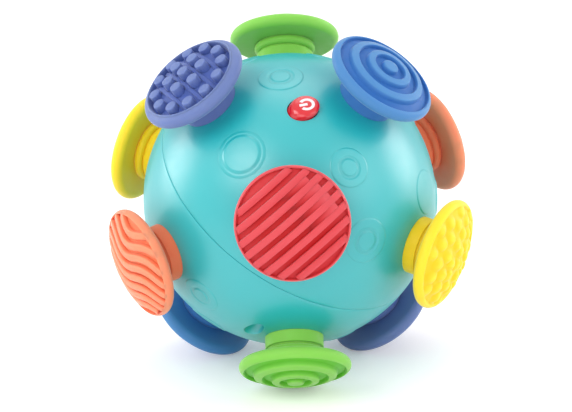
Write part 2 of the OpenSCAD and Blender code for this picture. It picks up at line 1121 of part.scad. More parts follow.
module battery_door() {
    color([0.42, 0.76, 0.78])
        in_bay()
            difference() {
                union() {
                    intersection() {
                        translate([0, 0, inner_r / 2])
                            cylinder(r = door_r, h = shell_r);
                        difference() {
                            sphere(shell_r);
                            sphere(inner_r);
                        }
                    }
                    intersection() {
                        translate([0, 0, door_plug_end])
                            cylinder(r = contact_r, h = shell_r);
                        sphere((shell_r + inner_r) / 2);
                    }
                }
                door_screw_places() {
                    translate([0, 0, inner_r / 2])
                        cylinder(r = door_screw_r + fit_gap, h = shell_r);
                    translate([0, 0, inner_r - shell_wall / 4])
                        cylinder(r = door_screw_head_r + fit_gap, h = shell_r);
                }
            }
}

module door_contacts() {
    color([0.8, 0.78, 0.7])
        in_bay() {
            translate([0, 0, door_plug_end - contact_t])
                cylinder(r = contact_r, h = contact_t);
            cell_places()
                translate([0, 0, door_contact_low])
                    cylinder(r = contact_nub_r, h = contact_t + contact_nub_h);
        }
}

module door_screws() {
    color([0.7, 0.7, 0.72])
        in_bay()
            door_screw_places()
                translate([0, 0, inner_r - shell_wall / 4 + fit_gap])
                    mirror([0, 0, 1])
                        screw(door_screw_r, door_screw_length, door_screw_head_r, door_screw_head_t);
}

// Drive

function flat_point(r, a) = [r * cos(a), r * sin(a)];
// Angle in degrees that an involute has turned at radius r over its base circle
function roll(r, base) = let (k = sqrt(max(pow(r / base, 2) - 1, 0))) k * 180 / PI - atan(k);

// One toothed outline: each tooth rises on one involute and falls on its mirror image
function gear_points(teeth) =
    let (pitch = gear_module * teeth / 2,
        base = pitch * cos(pressure_angle),
        tip = pitch + addendum_share * gear_module,
        root = pitch - dedendum_share * gear_module,
        half = 90 / teeth - tooth_thin / pitch * 90 / PI + roll(pitch, base),
        foot = max(base, root),
        flank = [for (i = [0:3]) foot + (tip - foot) * i / 3])
    [for (k = [0:teeth - 1]) let (mid = 360 * k / teeth)
        each concat(
            [flat_point(root, mid - half)],
            [for (r = flank) flat_point(r, mid - half + roll(r, base))],
            [for (i = [0:3]) flat_point(flank[3 - i], mid + half - roll(flank[3 - i], base))],
            [flat_point(root, mid + half)])];

module gear_blank(teeth, bore) {
    linear_extrude(gear_width)
        difference() {
            polygon(gear_points(teeth));
            circle(bore);
        }
}

module motor_case_outline() {
    intersection() {
        circle(motor_d / 2);
        square([motor_d, motor_flat], center = true);
    }
}

module at_motor() {
    translate([motor_v, motor_z, 0])
        children();
}

module at_shaft() {
    translate([0, shaft_z, 0])
        children();
}

module in_frame() {
    in_shell()
        in_drive()
            children();
}

module motor() {
    color([0.72, 0.73, 0.75])
        in_frame()
            along_u(motor_plate_u - motor_length)
                at_motor()
                    difference() {
                        union() {
                            linear_extrude(motor_length)
                                motor_case_outline();
                            cylinder(r = motor_boss_r, h = motor_length + motor_boss_t);
                        }
                        translate([0, 0, motor_length / 2])
                            cylinder(r = motor_shaft_r + shaft_gap, h = motor_length);
                    }
}

module motor_end_cap() {
    color([0.93, 0.93, 0.9])
        in_frame()
            along_u(motor_plate_u - motor_length - cap_t)
                at_motor() {
                    linear_extrude(cap_t)
                        motor_case_outline();
                    for (x = [-terminal_pitch / 2, terminal_pitch / 2])
                        translate([x - terminal_w / 2, -terminal_t / 2, -terminal_length])
                            cube([terminal_w, terminal_t, terminal_length + cap_t / 2]);
                }
}

module motor_strap() {
    color([0.78, 0.78, 0.8])
        in_frame()
            difference() {
                along_u(strap_u)
                    linear_extrude(strap_w)
                        difference() {
                            union() {
                                translate([motor_v - motor_d / 2 - strap_t, frame_t])
                                    square([motor_d + 2 * strap_t, saddle_t + motor_flat + strap_t]);
                                translate([motor_v - strap_hole_v - foot_length / 2, frame_t])
                                    square([2 * strap_hole_v + foot_length, strap_t]);
                            }
                            translate([motor_v - motor_d / 2 - fit_gap, frame_t - over])
                                square([motor_d + 2 * fit_gap, over + saddle_t + motor_flat + fit_gap]);
                        }
                foot_holes(strap_u + strap_w / 2, motor_v - strap_hole_v, motor_v + strap_hole_v)
                    translate([0, 0, frame_t - over])
                        cylinder(r = frame_screw_r + fit_gap, h = strap_t + 2 * over);
            }
}

module motor_shaft() {
    color([0.75, 0.75, 0.77])
        in_frame()
            along_u(motor_shaft_u)
                at_motor()
                    cylinder(r = motor_shaft_r, h = gear_plate_u - side_gap / 2 - motor_shaft_u);
}

module drive_pinion() {
    color([0.85, 0.72, 0.4])
        in_frame()
            along_u(gear_u)
                at_motor()
                    rotate([0, 0, mesh_angle + 180 + 180 / pinion_teeth])
                        gear_blank(pinion_teeth, motor_shaft_r);
}

module output_gear() {
    color([0.95, 0.94, 0.9])
        in_frame()
            along_u(gear_u)
                at_shaft()
                    rotate([0, 0, mesh_angle])
                        gear_blank(gear_teeth, shaft_r);
}

module output_shaft() {
    color([0.75, 0.75, 0.77])
        in_frame()
            along_u(motor_plate_u - shaft_tail)
                at_shaft()
                    cylinder(r = shaft_r, h = outer_u - motor_plate_u + plate_t + 2 * shaft_tail);
}

module weight_outline() {
    rotate([0, 0, hang_angle])
        intersection() {
            circle(weight_r);
            translate([weight_chord, -weight_r])
                square([weight_r, 2 * weight_r]);
        }
    circle(hub_r);
}

module eccentric_weight() {
    color([0.55, 0.56, 0.58])
        in_frame()
            along_u(weight_u)
                at_shaft()
                    difference() {
                        linear_extrude(weight_width)
                            difference() {
                                weight_outline();
                                circle(shaft_r);
                            }
                        translate([0, 0, weight_width / 2])
                            rotate([0, 0, hang_angle + 180])
                                rotate([0, 90, 0])
                                    cylinder(r = grub_r, h = hub_r + over);
                    }
}

module weight_screw() {
    color([0.25, 0.25, 0.27])
        in_frame()
            along_u(weight_u + weight_width / 2)
                at_shaft()
                    rotate([0, 0, hang_angle + 180])
                        rotate([0, 90, 0])
                            translate([0, 0, shaft_r])
                                cylinder(r = grub_r - fit_gap, h = hub_r - shaft_r);
}

module bush_hole() {
    at_shaft()
        translate([0, 0, -over])
            cylinder(r = bush_r, h = plate_t + 2 * over);
}

module bearing_upright() {
    linear_extrude(plate_t)
        union() {
            translate([-plate_side, frame_t])
                square([2 * plate_side, shaft_z - frame_t]);
            translate([0, shaft_z])
                circle(plate_side);
        }
}

module motor_plate() {
    color([0.83, 0.84, 0.86])
        in_frame()
            difference() {
                union() {
                    along_u(motor_plate_u)
                        translate([-plate_side, frame_t, 0])
                            cube([plate_side + motor_v + motor_d / 2, shaft_z - frame_t + plate_over,
                                plate_t]);
                    translate([motor_plate_u - foot_length + plate_t, -plate_side, frame_t])
                        cube([foot_length, plate_side + motor_foot_v + frame_screw_inset / 2, foot_t]);
                }
                along_u(motor_plate_u) {
                    bush_hole();
                    at_motor()
                        translate([0, 0, -over])
                            cylinder(r = motor_boss_r + fit_gap, h = plate_t + 2 * over);
                    translate([motor_v, shaft_z + plate_over, -over])
                        cylinder(r = shaft_z - motor_z, h = plate_t + 2 * over);
                }
                foot_holes(motor_hole_u, -plate_hole_v, motor_foot_v)
                    cylinder(r = frame_screw_r + fit_gap, h = frame_t + foot_t + over);
            }
}

module gear_plate() {
    color([0.83, 0.84, 0.86])
        in_frame()
            difference() {
                union() {
                    along_u(gear_plate_u)
                        bearing_upright();
                    translate([gear_plate_u - gear_foot, -plate_side, frame_t])
                        cube([gear_foot + plate_t, 2 * plate_side, foot_t]);
                }
                along_u(gear_plate_u)
                    bush_hole();
                foot_holes(gear_hole_u, -plate_hole_v, plate_hole_v)
                    cylinder(r = frame_screw_r + fit_gap, h = frame_t + foot_t + over);
            }
}

module outer_bracket() {
    color([0.83, 0.84, 0.86])
        in_frame()
            difference() {
                union() {
                    along_u(outer_u)
                        bearing_upright();
                    translate([outer_u, -plate_side, frame_t])
                        cube([foot_length, 2 * plate_side, foot_t]);
                }
                along_u(outer_u)
                    bush_hole();
                foot_holes(outer_hole_u, -plate_hole_v, plate_hole_v)
                    cylinder(r = frame_screw_r + fit_gap, h = frame_t + foot_t + over);
            }
}

module shaft_bushes() {
    color([0.85, 0.68, 0.35])
        in_frame()
            for (u = [motor_plate_u, gear_plate_u, outer_u])
                along_u(u)
                    at_shaft()
                        ring(bush_r - shaft_gap / 2, shaft_r + shaft_gap, 0, plate_t);
}

module frame_screws() {
    color([0.7, 0.7, 0.72])
        in_frame()
            frame_screw_places()
                translate([0, 0, -fit_gap])
                    screw(frame_screw_r, frame_t + foot_t, frame_screw_head_r, frame_screw_head_t);
}

upper_shell();
lower_shell();
knob_red_front();
knob_red_back();
knob_blue_upper();
knob_blue_foot();
knob_green_upper();
knob_green_foot();
knob_purple_upper();
knob_purple_foot();
knob_yellow_right();
knob_yellow_left();
knob_orange_left();
knob_orange_right();
collars_red();
collars_blue();
collars_green();
collars_purple();
collars_yellow();
collars_orange();
knob_cores();
knob_washers();
knob_screws();
shell_screws();
mid_frame();
power_button();
switch_body();
switch_plunger();
circuit_board();
board_parts();
board_screws();
battery_tube();
battery_cells();
base_contacts();
battery_door();
door_contacts();
door_screws();
motor();
motor_end_cap();
motor_strap();
motor_shaft();
drive_pinion();
output_gear();
output_shaft();
eccentric_weight();
weight_screw();
motor_plate();
gear_plate();
outer_bracket();
shaft_bushes();
frame_screws();
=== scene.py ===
"""Sensory ball: moulded knobs, shells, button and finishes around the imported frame, and the studio."""
import json
import math

import bmesh
import bpy
from mathutils import Matrix, Vector


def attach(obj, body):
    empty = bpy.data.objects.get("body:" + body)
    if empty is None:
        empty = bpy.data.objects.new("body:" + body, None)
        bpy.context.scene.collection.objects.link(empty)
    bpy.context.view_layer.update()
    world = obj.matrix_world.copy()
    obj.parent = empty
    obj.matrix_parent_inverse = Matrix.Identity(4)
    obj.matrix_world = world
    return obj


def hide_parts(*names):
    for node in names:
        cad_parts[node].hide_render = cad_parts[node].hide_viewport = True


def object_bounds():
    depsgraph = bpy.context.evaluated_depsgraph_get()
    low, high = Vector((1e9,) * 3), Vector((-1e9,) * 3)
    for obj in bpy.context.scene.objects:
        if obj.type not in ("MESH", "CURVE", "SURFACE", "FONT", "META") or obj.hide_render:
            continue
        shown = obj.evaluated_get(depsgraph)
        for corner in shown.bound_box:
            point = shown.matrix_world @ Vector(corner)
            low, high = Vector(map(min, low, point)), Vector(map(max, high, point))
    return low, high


bl_info = {
    "name": "Sensory ball",
    "version": (1, 0, 0),
    "blender": (4, 5, 0),
    "location": "View3D > Sidebar > Sensory ball",
    "description": "Builds the moulded parts and finishes of a sensory ball, and a small studio",
    "category": "Object",
}

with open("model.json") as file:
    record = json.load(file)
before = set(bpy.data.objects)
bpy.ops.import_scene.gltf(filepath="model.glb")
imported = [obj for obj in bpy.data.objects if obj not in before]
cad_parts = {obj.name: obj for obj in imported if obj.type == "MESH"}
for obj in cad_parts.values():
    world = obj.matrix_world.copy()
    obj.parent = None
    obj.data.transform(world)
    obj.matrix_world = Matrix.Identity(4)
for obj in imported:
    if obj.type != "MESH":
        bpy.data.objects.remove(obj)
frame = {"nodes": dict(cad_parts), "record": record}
CAD_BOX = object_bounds()

MM = 0.001
TAU = math.tau

# Directions of the knobs, as polar angle and azimuth in degrees about the shell's own axis
RING_POLAR = math.degrees(math.atan(2))
LOW_POLAR = 180 - RING_POLAR
FACE_POLAR = math.degrees(math.acos(math.sqrt((5 + 2 * math.sqrt(5)) / 15)))
KNOBS = {
    "knob_red_front": (RING_POLAR, 0), "knob_red_back": (LOW_POLAR, 180),
    "knob_blue_upper": (0, 0), "knob_blue_foot": (180, 0),
    "knob_green_upper": (RING_POLAR, -144), "knob_green_foot": (LOW_POLAR, 36),
    "knob_purple_upper": (RING_POLAR, -72), "knob_purple_foot": (LOW_POLAR, 108),
    "knob_yellow_right": (RING_POLAR, 72), "knob_yellow_left": (LOW_POLAR, -108),
    "knob_orange_left": (LOW_POLAR, -36), "knob_orange_right": (RING_POLAR, 144),
}

# Shell
SHELL_R = 66 * MM
SHELL_WALL = 2.6 * MM
INNER_R = SHELL_R - SHELL_WALL
SKIN = 0.05 * MM  # least step between two surfaces
SEAM = 0.3 * MM
SEAM_DROP = 0.08 * MM  # how far the bevel at the seam starts under the surface
LIP_R = SHELL_R - SHELL_WALL / 2
LIP_T = 1.7 * MM
LIP_H = 2.2 * MM
LIP_PLAY = 0.1 * MM
LIP_ROOM = 0.3 * MM  # over the lip, in the upper half
CUT_IN = INNER_R / 2  # where the cutters of the openings start
CUT_OUT = SHELL_R * 1.1  # and where they end
KNOB_HOLE_PLAY = 0.2 * MM
BOSS_POLAR = 60.4
BOSS_AZ = 16.9
BOSS_COUNT = 4
BOSS_STEP = 72
BOSS_RING_R = SHELL_R * math.sin(math.radians(BOSS_POLAR))
BOSS_WALL = 1.2 * MM
SCREW_HOLE_R = 1.6 * MM
RECESS_R = 3.5 * MM
RECESS_FLOOR = -8 * MM
RECESS_CUT_END = -10 * MM
BAY_POLAR = 180 - FACE_POLAR
BAY_AZ = -144
BAY_OPENING_R = 18 * MM

# Reliefs: polar angle, azimuth, radius in mm, kind
UPPER_RELIEFS = [(58.9, -36.1, 11.4, "dome"), (59.3, 35.4, 10.6, "rings"), (35.2, 12.7, 9.3, "rings"),
                 (34.5, -79.4, 10.6, "rings"), (44.4, 82.5, 10.6, "ring"), (59.3, 108, 10.6, "dome"),
                 (59.3, 180, 10.6, "rings"), (59.3, -108, 10.6, "ring"), (37, 150, 9.3, "rings"),
                 (37, -145, 9.3, "ring")]
LOWER_RELIEFS = [(118.7, -11.5, 9.5, "rings"), (120.7, 72, 10.6, "dome"), (120.7, 144, 10.6, "rings"),
                 (143, 0, 9.5, "rings"), (143, 60, 9.3, "ring"), (143, 124, 9.3, "rings")]
RELIEF_H = 0.55 * MM
RELIEF_LIFT = 0.03  # mm over the shell's surface in the middle
RELIEF_TUCK = 0.09  # mm that the edge lies lower than that
# The steps of each kind, from outside in: height, place and width as shares of the relief's height and radius
RELIEF_STEPS = {
    "dome": ((0.35, 0.92, 0.16), (-0.25, 0.8, 0.1), (1.1, 0.74, 0.16)),
    "ring": ((0.6, 0.94, 0.07),),
    "rings": ((0.5, 0.94, 0.07), (-0.55, 0.56, 0.07), (0.6, 0.4, 0.07)),
}

# Knobs, measured along each knob's own axis from the ball's centre
KNOB_R = 25 * MM
RIM_R = 2.95 * MM
RIM_RING_R = KNOB_R - RIM_R
RIM_MID = SHELL_R + 12.3 * MM
CROWN = SHELL_R + 20.5 * MM
CROWN_RISE = CROWN - RIM_MID
DOME_R = (RIM_RING_R ** 2 + CROWN_RISE ** 2 - RIM_R ** 2) / (2 * (CROWN_RISE - RIM_R))
DOME_Z = CROWN - DOME_R
DOME_EDGE_R = DOME_R * RIM_RING_R / (DOME_R - RIM_R)
FACE_R = KNOB_R - 0.7 * MM
CREST_REACH = KNOB_R - 0.5 * MM  # no pattern reaches further out
LEAST_SQUARE = MM ** 2  # keeps the shortest chord from 0
STEM_R = 11.4 * MM
STEM_END = 59.5 * MM
NECK_R = 13 * MM
NECK_TOP = SHELL_R + 4.2 * MM
SLOT_H = 0.9 * MM
SLOT_DEPTH = 0.8 * MM
DISC_SEAT = NECK_TOP + 0.1 * MM
BEAD_R = 2.1 * MM
BEAD_RING_R = NECK_R - 1.2 * MM
BEAD_Z = NECK_TOP + SLOT_H + BEAD_R
BEAD_ARC = (-88, 62)
RIM_START = -92
SOFT_EDGE = 0.45 * MM
GROOVE_WALL = 0.75 * MM
ROOT = 1 * MM  # how far a pattern goes on under the floor of the face
LATHE_STEPS = 144
FINE_STEPS = 216
BAR_STEPS = 80

# Patterns of the faces: grooves in mm, turns about the knob's axis in degrees
RING_GROOVES = {"blue": ((3.8, 7.5), (10.9, 14.8), (18.3, 22.5)),
                "green": ((3.9, 7.1), (10.7, 14.7), (18.6, 22.7))}
RIB_TURN = 165.8
WAVE_TURN = 110
WAVE_GROOVE = 1.9 * MM
PEG_FLOOR_DEPTH = 3.4 * MM
PEG_RIB_TURN = 120
PEG_LIP_H = 0.42 * MM
COBBLE_DEPTH = 1.5 * MM
COBBLE_TURN = 137.508  # the golden angle

# Painted shade on the soft colours: the power that deepens them in grooves, where light bounces more often, how open
# to the light the necks lie, and the floor near its edge
GROOVE_SHADE_POWER = {"red": 2.1, "blue": 1.5, "green": 1.5, "purple": 1.5, "yellow": 1.35, "orange": 1.3}
NECK_SHADE_OPENNESS = {"red": 0.4, "blue": 0.5, "green": 1.0, "purple": 0.65, "yellow": 0.35, "orange": 0.25}
FLOOR_SHADE_OPENNESS = {"red": 0.5}
# How steeply the painted shade falls off, and how much of the brightest channel it keeps
GROOVE_SHADE_FALL = 1.5
GROOVE_SHADE_PEAK = 0.7

# Power button, parallel to the shell's own axis
BUTTON_POLAR = 29.3
BUTTON_AZ = -41.9
BUTTON_RING_R = SHELL_R * math.sin(math.radians(BUTTON_POLAR))
BUTTON_GAP = 0.4 * MM
BUTTON_LOW = 51 * MM
BUTTON_WALL = 5 * MM
BUTTON_ROUND = 1.9 * MM
BUTTON_GUIDE = 1.5 * MM
SIGN_TURN = -11
SIGN_OPENING = 38
SIGN_H = 0.1 * MM
# The section of the sign's lines: share of half their width, height over the button
SIGN_SECTION = ((-1, -0.3 * MM), (-1, SIGN_H * 0.6), (-0.9, SIGN_H), (0.9, SIGN_H), (1, SIGN_H * 0.6),
                (1, -0.3 * MM))

# Camera, from the photo's own perspective
CAMERA_LENS = 180.03
CAMERA_ELEVATION = 18.527
CAMERA_AZIMUTH = -0.62
CAMERA_ROLL = -1.446
CAMERA_DISTANCE = 19.5795 * SHELL_R
CAMERA_SIDE = 0.0253 * SHELL_R
CAMERA_UP = 0.04644 * SHELL_R

# Studio, in metres. Lights: name, setting of their power, size, place
LIGHTS = (("key", "key_power", 0.7, (-0.7, -0.75, 0.85)), ("fill", "fill_power", 0.9, (0.95, -0.6, 0.5)),
          ("top", "fill_power", 0.8, (0.1, 0.45, 1.1)), ("low", "low_power", 0.8, (-0.2, -1.1, 0.2)),
          ("rim left", "rim_power", 0.6, (-1.0, 0.35, 0.25)), ("rim right", "rim_power", 0.6, (1.0, 0.35, 0.25)))
FLOOR_HALF = 4
FLOOR_GREY = (0.9, 0.9, 0.9, 1)
FLOOR_GLOW = 0.22
WHITE = (1, 1, 1, 1)

METAL = {"metallic": 1.0}
# Finishes of the pieces that keep their solids, by slot: colour, roughness, mottle and what else they need
INNER_FINISHES = {
    "white_plastic": ((225, 224, 218), 0.5, 0.03, {"grain": 0.05}),
    "gear_plastic": ((240, 238, 228), 0.42, 0.03, {"subsurface": 0.1}),
    "black_plastic": ((36, 36, 38), 0.45, 0.1, {"grain": 0.08}),
    "board_green": ((24, 104, 62), 0.28, 0.12, {"coat": 0.4}),
    "cell_sleeve": ((64, 140, 92), 0.3, 0.06, {"coat": 0.3}),
    "nickel_plate": ((214, 208, 190), 0.24, 0.06, METAL),
    "motor_can": ((196, 198, 202), 0.3, 0.06, {**METAL, "streak": (1, 1, 12)}),
    "zinc_plate": ((206, 210, 216), 0.34, 0.08, {**METAL, "grain": 0.05, "streak": (1, 8, 1)}),
    "screw_steel": ((190, 190, 192), 0.3, 0.08, METAL),
    "shaft_steel": ((204, 204, 208), 0.18, 0.05, METAL),
    "black_steel": ((66, 66, 70), 0.4, 0.12, METAL),
    "gear_brass": ((214, 176, 96), 0.26, 0.06, METAL),
    "weight_iron": ((132, 134, 138), 0.55, 0.16, {**METAL, "grain": 0.25, "grain_size": 0.6 * MM}),
}


def tone(red, green, blue):
    """A display colour, 0 to 255 a channel, as linear light."""
    return tuple((c / 255 / 12.92) if c < 11 else ((c / 255 + 0.055) / 1.055) ** 2.4 for c in (red, green, blue))


# Places and turns

def spun(angle, axis="Z"):
    return Matrix.Rotation(math.radians(angle), 4, axis)


def turned(polar, az):
    return spun(az) @ spun(polar, "Y")


SHELL = turned(FACE_POLAR, -30) @ spun(-72)


def knob_place(node):
    return SHELL @ turned(*KNOBS[node])


def ring_place(ring_r, az):
    return spun(az) @ Matrix.Translation((ring_r, 0, 0))


# Mesh helpers

def arc(x, y, r, start, end, steps):
    angles = [math.radians(a) for a in spread(start, end, steps)]
    return [(x + r * math.cos(a), y + r * math.sin(a)) for a in angles]


def spread(low, high, steps):
    return [low + (high - low) * i / steps for i in range(steps + 1)]


def ease(t):
    t = min(max(t, 0), 1)
    return t * t * (3 - 2 * t)


def crest(r):
    """Height of a knob's top at radius r: its dome, and past the dome's edge its round rim."""
    if r < DOME_EDGE_R:
        return DOME_Z + math.sqrt(DOME_R ** 2 - r ** 2)
    return RIM_MID + math.sqrt(max(RIM_R ** 2 - (r - RIM_RING_R) ** 2, 0))


def lathe(bm, outline, steps=LATHE_STEPS, place=Matrix.Identity(4), height=None):
    """Turns (radius, z) points about z. The outline runs with the solid on its left, seen from +Y."""
    rings = []
    for r, z in outline:
        spots = [(r * math.cos(TAU * k / steps), r * math.sin(TAU * k / steps)) for k in range(steps)]
        if r < 1e-7:
            spots = [(0, 0)]
        rings.append([bm.verts.new(place @ Vector((x, y, height(x, y, z) if height else z))) for x, y in spots])
    for low, high in zip(rings, rings[1:]):
        for k in range(steps):
            n = (k + 1) % steps
            under = [low[k], low[n]] if len(low) > 1 else low
            over = [high[n], high[k]] if len(high) > 1 else high
            if len(under) + len(over) > 2:
                bm.faces.new(under + over)


def to_mesh(bm, name):
    mesh = bpy.data.meshes.new(name)
    bm.to_mesh(mesh)
    bm.free()
    return mesh


def absorb(bm, mesh, turn=0.0):
    """Adds a mesh, turned about z by some degrees, and removes it."""
    if turn:
        mesh.transform(spun(turn))
    bm.from_mesh(mesh)
    bpy.data.meshes.remove(mesh)


def linked(name, data):
    """A new object, linked to the scene."""
    made = bpy.data.objects.new(name, data)
    bpy.context.scene.collection.objects.link(made)
    return made


def as_object(name, bm, sharp=38):
    """A smooth object whose edges over the given angle stay crisp."""
    bmesh.ops.recalc_face_normals(bm, faces=bm.faces)
    limit = math.radians(sharp)
    for e in bm.edges:
        e.smooth = len(e.link_faces) != 2 or e.calc_face_angle(0) < limit
    for f in bm.faces:
        f.smooth = True
    return linked(name, to_mesh(bm, name))


def finish_piece(piece, material, body, slot, *nodes):
    piece.data.materials.clear()
    piece.data.materials.append(material)
    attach(piece, body)
    if nodes:
        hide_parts(*nodes)


def drop(thing):
    mesh = thing.data
    bpy.data.objects.remove(thing)
    if mesh.users == 0:
        bpy.data.meshes.remove(mesh)


def evaluated_mesh(thing):
    """The mesh of an object with its modifiers, as a plain mesh."""
    graph = bpy.context.evaluated_depsgraph_get()
    graph.update()
    return bpy.data.meshes.new_from_object(thing.evaluated_get(graph))


# Node helpers

class Nodes:
    """Adds nodes to a tree. An input is another node's socket or a value."""

    def __init__(self, tree):
        self.tree = tree

    def put(self, kind, inputs=None, **settings):
        node = self.tree.nodes.new(kind)
        for key, value in settings.items():
            setattr(node, key, value)
        for key, value in (inputs or {}).items():
            if isinstance(value, bpy.types.NodeSocket):
                self.tree.links.new(value, node.inputs[key])
            else:
                node.inputs[key].default_value = value
        return node

    def get(self, kind, inputs=None, **settings):
        """Adds a node and returns its first output."""
        return self.put(kind, inputs, **settings).outputs[0]

    def maths(self, operation, first, *others):
        """One operation, or the same one several times from the left."""
        if not others:
            return self.get("ShaderNodeMath", {0: first}, operation=operation)
        for value in others:
            first = self.get("ShaderNodeMath", {0: first, 1: value}, operation=operation)
        return first

    def add(self, *values):
        return self.maths("ADD", *values)

    def less(self, a, b):
        return self.maths("SUBTRACT", a, b)

    def times(self, *values):
        return self.maths("MULTIPLY", *values)

    def over(self, a, b):
        return self.maths("DIVIDE", a, b)

    def root(self, a, floor=0.0):
        return self.maths("SQRT", self.maths("MAXIMUM", a, floor))

    def ramp(self, value, start, end, low, high, shape="SMOOTHSTEP"):
        return self.get("ShaderNodeMapRange", {"Value": value, "From Min": start, "From Max": end, "To Min": low,
                                               "To Max": high}, interpolation_type=shape)

    def mixed(self, share, a, b):
        return self.put("ShaderNodeMix", {0: share, 6: a, 7: b}, data_type="RGBA").outputs[2]


class Grower(Nodes):
    """A geometry tree with named inputs, which grows a plain mesh."""

    def __init__(self, name, inputs, on_dome=True):
        super().__init__(bpy.data.node_groups.new(name, "GeometryNodeTree"))
        if on_dome:
            inputs = {**inputs, "Dome radius": DOME_R, "Dome centre": DOME_Z}
        sockets = self.tree.interface
        sockets.new_socket("Geometry", in_out="OUTPUT", socket_type="NodeSocketGeometry")
        sockets.new_socket("Geometry", in_out="INPUT", socket_type="NodeSocketGeometry")
        for label, value in inputs.items():
            kind = "NodeSocketInt" if isinstance(value, int) else "NodeSocketFloat"
            sockets.new_socket(label, in_out="INPUT", socket_type=kind).default_value = value
        sockets.new_socket("Material", in_out="INPUT", socket_type="NodeSocketMaterial")
        self.entry = self.put("NodeGroupInput").outputs
        self.leave = self.put("NodeGroupOutput").inputs

    def spot(self):
        """The X, Y and Z of each point."""
        return self.put("ShaderNodeSeparateXYZ", {0: self.get("GeometryNodeInputPosition")}).outputs

    def vector(self, **axes):
        return self.get("ShaderNodeCombineXYZ", axes)

    def moved(self, shape, **how):
        return self.get("GeometryNodeSetPosition", {"Geometry": shape, **how})

    def squares(self, x, y):
        return self.add(self.times(x, x), self.times(y, y))

    def dome(self, x, y):
        """Height of the knob's dome over the point x, y."""
        radius = self.entry["Dome radius"]
        inside = self.less(self.times(radius, radius), self.squares(x, y))
        return self.add(self.entry["Dome centre"], self.root(inside))

    def half_reach(self, y):
        """Half the length of the chord that lies y off the face's middle."""
        reach = self.entry["Reach"]
        return self.root(self.less(self.times(reach, reach), self.times(y, y)), LEAST_SQUARE)

    def drawn_in(self, x, y, reach):
        """Moves a point in to the reach. Returns its x and y, its radius as it was and the share kept."""
        r = self.maths("MAXIMUM", self.maths("SQRT", self.squares(x, y)), 1 * MM)
        kept = self.maths("MINIMUM", self.over(reach, r), 1.0)
        return self.times(x, kept), self.times(y, kept), r, kept

    def under_crest(self, shape):
        """Keeps every point of a shape inside the rim and under the crest of the knob."""
        at = self.spot()
        x, y, r, kept = self.drawn_in(at["X"], at["Y"], CREST_REACH)
        past = self.less(self.times(r, kept), RIM_RING_R)
        rim = self.add(self.root(self.less(RIM_R ** 2, self.times(past, past))), RIM_MID - SKIN)
        top = self.dome(x, y)
        on_rim = self.maths("GREATER_THAN", r, DOME_EDGE_R)
        limit = self.get("ShaderNodeMix", {0: on_rim, 2: top, 3: self.maths("MINIMUM", top, rim)})
        return self.moved(shape, Position=self.vector(X=x, Y=y, Z=self.maths("MINIMUM", at["Z"], limit)))

    def end(self, shape):
        """Realises the copies, sets the material and ends the tree."""
        real = self.get("GeometryNodeRealizeInstances", {"Geometry": shape})
        smooth = self.get("GeometryNodeSetShadeSmooth", {"Geometry": real})
        painted = self.get("GeometryNodeSetMaterial", {"Geometry": smooth, "Material": self.entry["Material"]})
        self.tree.links.new(painted, self.leave[0])
        return self

    def grow(self, values, start=None):
        """Runs the tree on a start mesh and returns the result as a plain mesh."""
        holder = linked("holder", start or bpy.data.meshes.new("start"))
        modifier = holder.modifiers.new("grow", "NODES")
        modifier.node_group = self.tree
        for item in self.tree.interface.items_tree:
            if item.in_out == "INPUT" and item.name in values:
                modifier[item.identifier] = values[item.name]
        result = evaluated_mesh(holder)
        holder.modifiers.remove(modifier)
        drop(holder)
        return result


def bar_tree():
    """Ribs side by side, each as long as the round face lets it be, straight or waved."""
    t = Grower("face_ribs", {
        "Count": 10, "Pitch": 5 * MM, "Width": 2.4 * MM, "Height": 4 * MM, "Corner": 0.4 * MM, "Reach": 23 * MM,
        "Wave height": 0.0, "Wave length": 25 * MM, "Wave start": 0.0, "First share": -1.0, "Last share": 1.0,
        "Ramp": 0.0, "Shift": 0.0, "Dive": 0.5 * MM})
    entry = t.entry
    span = t.times(entry["Pitch"], t.less(entry["Count"], 1.0))
    first = t.vector(Y=t.add(t.times(span, -0.5), entry["Shift"]))
    line = t.get("GeometryNodeMeshLine", {"Count": entry["Count"], "Start Location": first,
                                          "Offset": t.vector(Y=entry["Pitch"])})
    half = t.half_reach(t.spot()["Y"])
    rail = t.get("GeometryNodeCurvePrimitiveLine", {"Start": t.vector(X=entry["First share"]),
                                                    "End": t.vector(X=entry["Last share"])})
    fine = t.get("GeometryNodeResampleCurve", {"Curve": rail, "Count": BAR_STEPS})
    copies = t.get("GeometryNodeInstanceOnPoints", {"Points": line, "Instance": fine,
                                                    "Scale": t.vector(X=half, Y=1.0, Z=1.0)})
    rails = t.get("GeometryNodeRealizeInstances", {"Geometry": copies})
    spot = t.spot()
    phase = t.times(t.over(t.less(spot["X"], entry["Wave start"]), entry["Wave length"]), TAU)
    wave = t.times(t.maths("SINE", phase), entry["Wave height"])
    x, y, r, _ = t.drawn_in(spot["X"], t.add(spot["Y"], wave), entry["Reach"])
    dive = t.ramp(r, t.less(entry["Reach"], 1.2 * MM), entry["Reach"], 0.0, entry["Dive"])
    begin = t.times(entry["First share"], t.half_reach(y))
    rise = t.ramp(t.less(x, begin), 0.0, t.maths("MAXIMUM", entry["Ramp"], 0.1 * MM), 1.0, 0.0, "LINEAR")
    sunk = t.times(rise, t.maths("GREATER_THAN", entry["Ramp"], 0.0), entry["Height"])
    low = t.add(t.times(entry["Height"], 0.5), t.add(dive, sunk))
    laid = t.moved(rails, Position=t.vector(X=x, Y=y, Z=t.less(t.dome(x, y), low)))
    upright = t.get("GeometryNodeSetCurveNormal", {"Curve": laid}, mode="Z_UP")
    section = t.get("GeometryNodeCurvePrimitiveQuadrilateral", {"Width": entry["Width"], "Height": entry["Height"]})
    rounded = t.get("GeometryNodeFilletCurve", {"Curve": section, "Radius": entry["Corner"], "Count": 4}, mode="POLY")
    solid = t.get("GeometryNodeCurveToMesh", {"Curve": upright, "Profile Curve": rounded, "Fill Caps": True})
    return t.end(t.under_crest(solid))


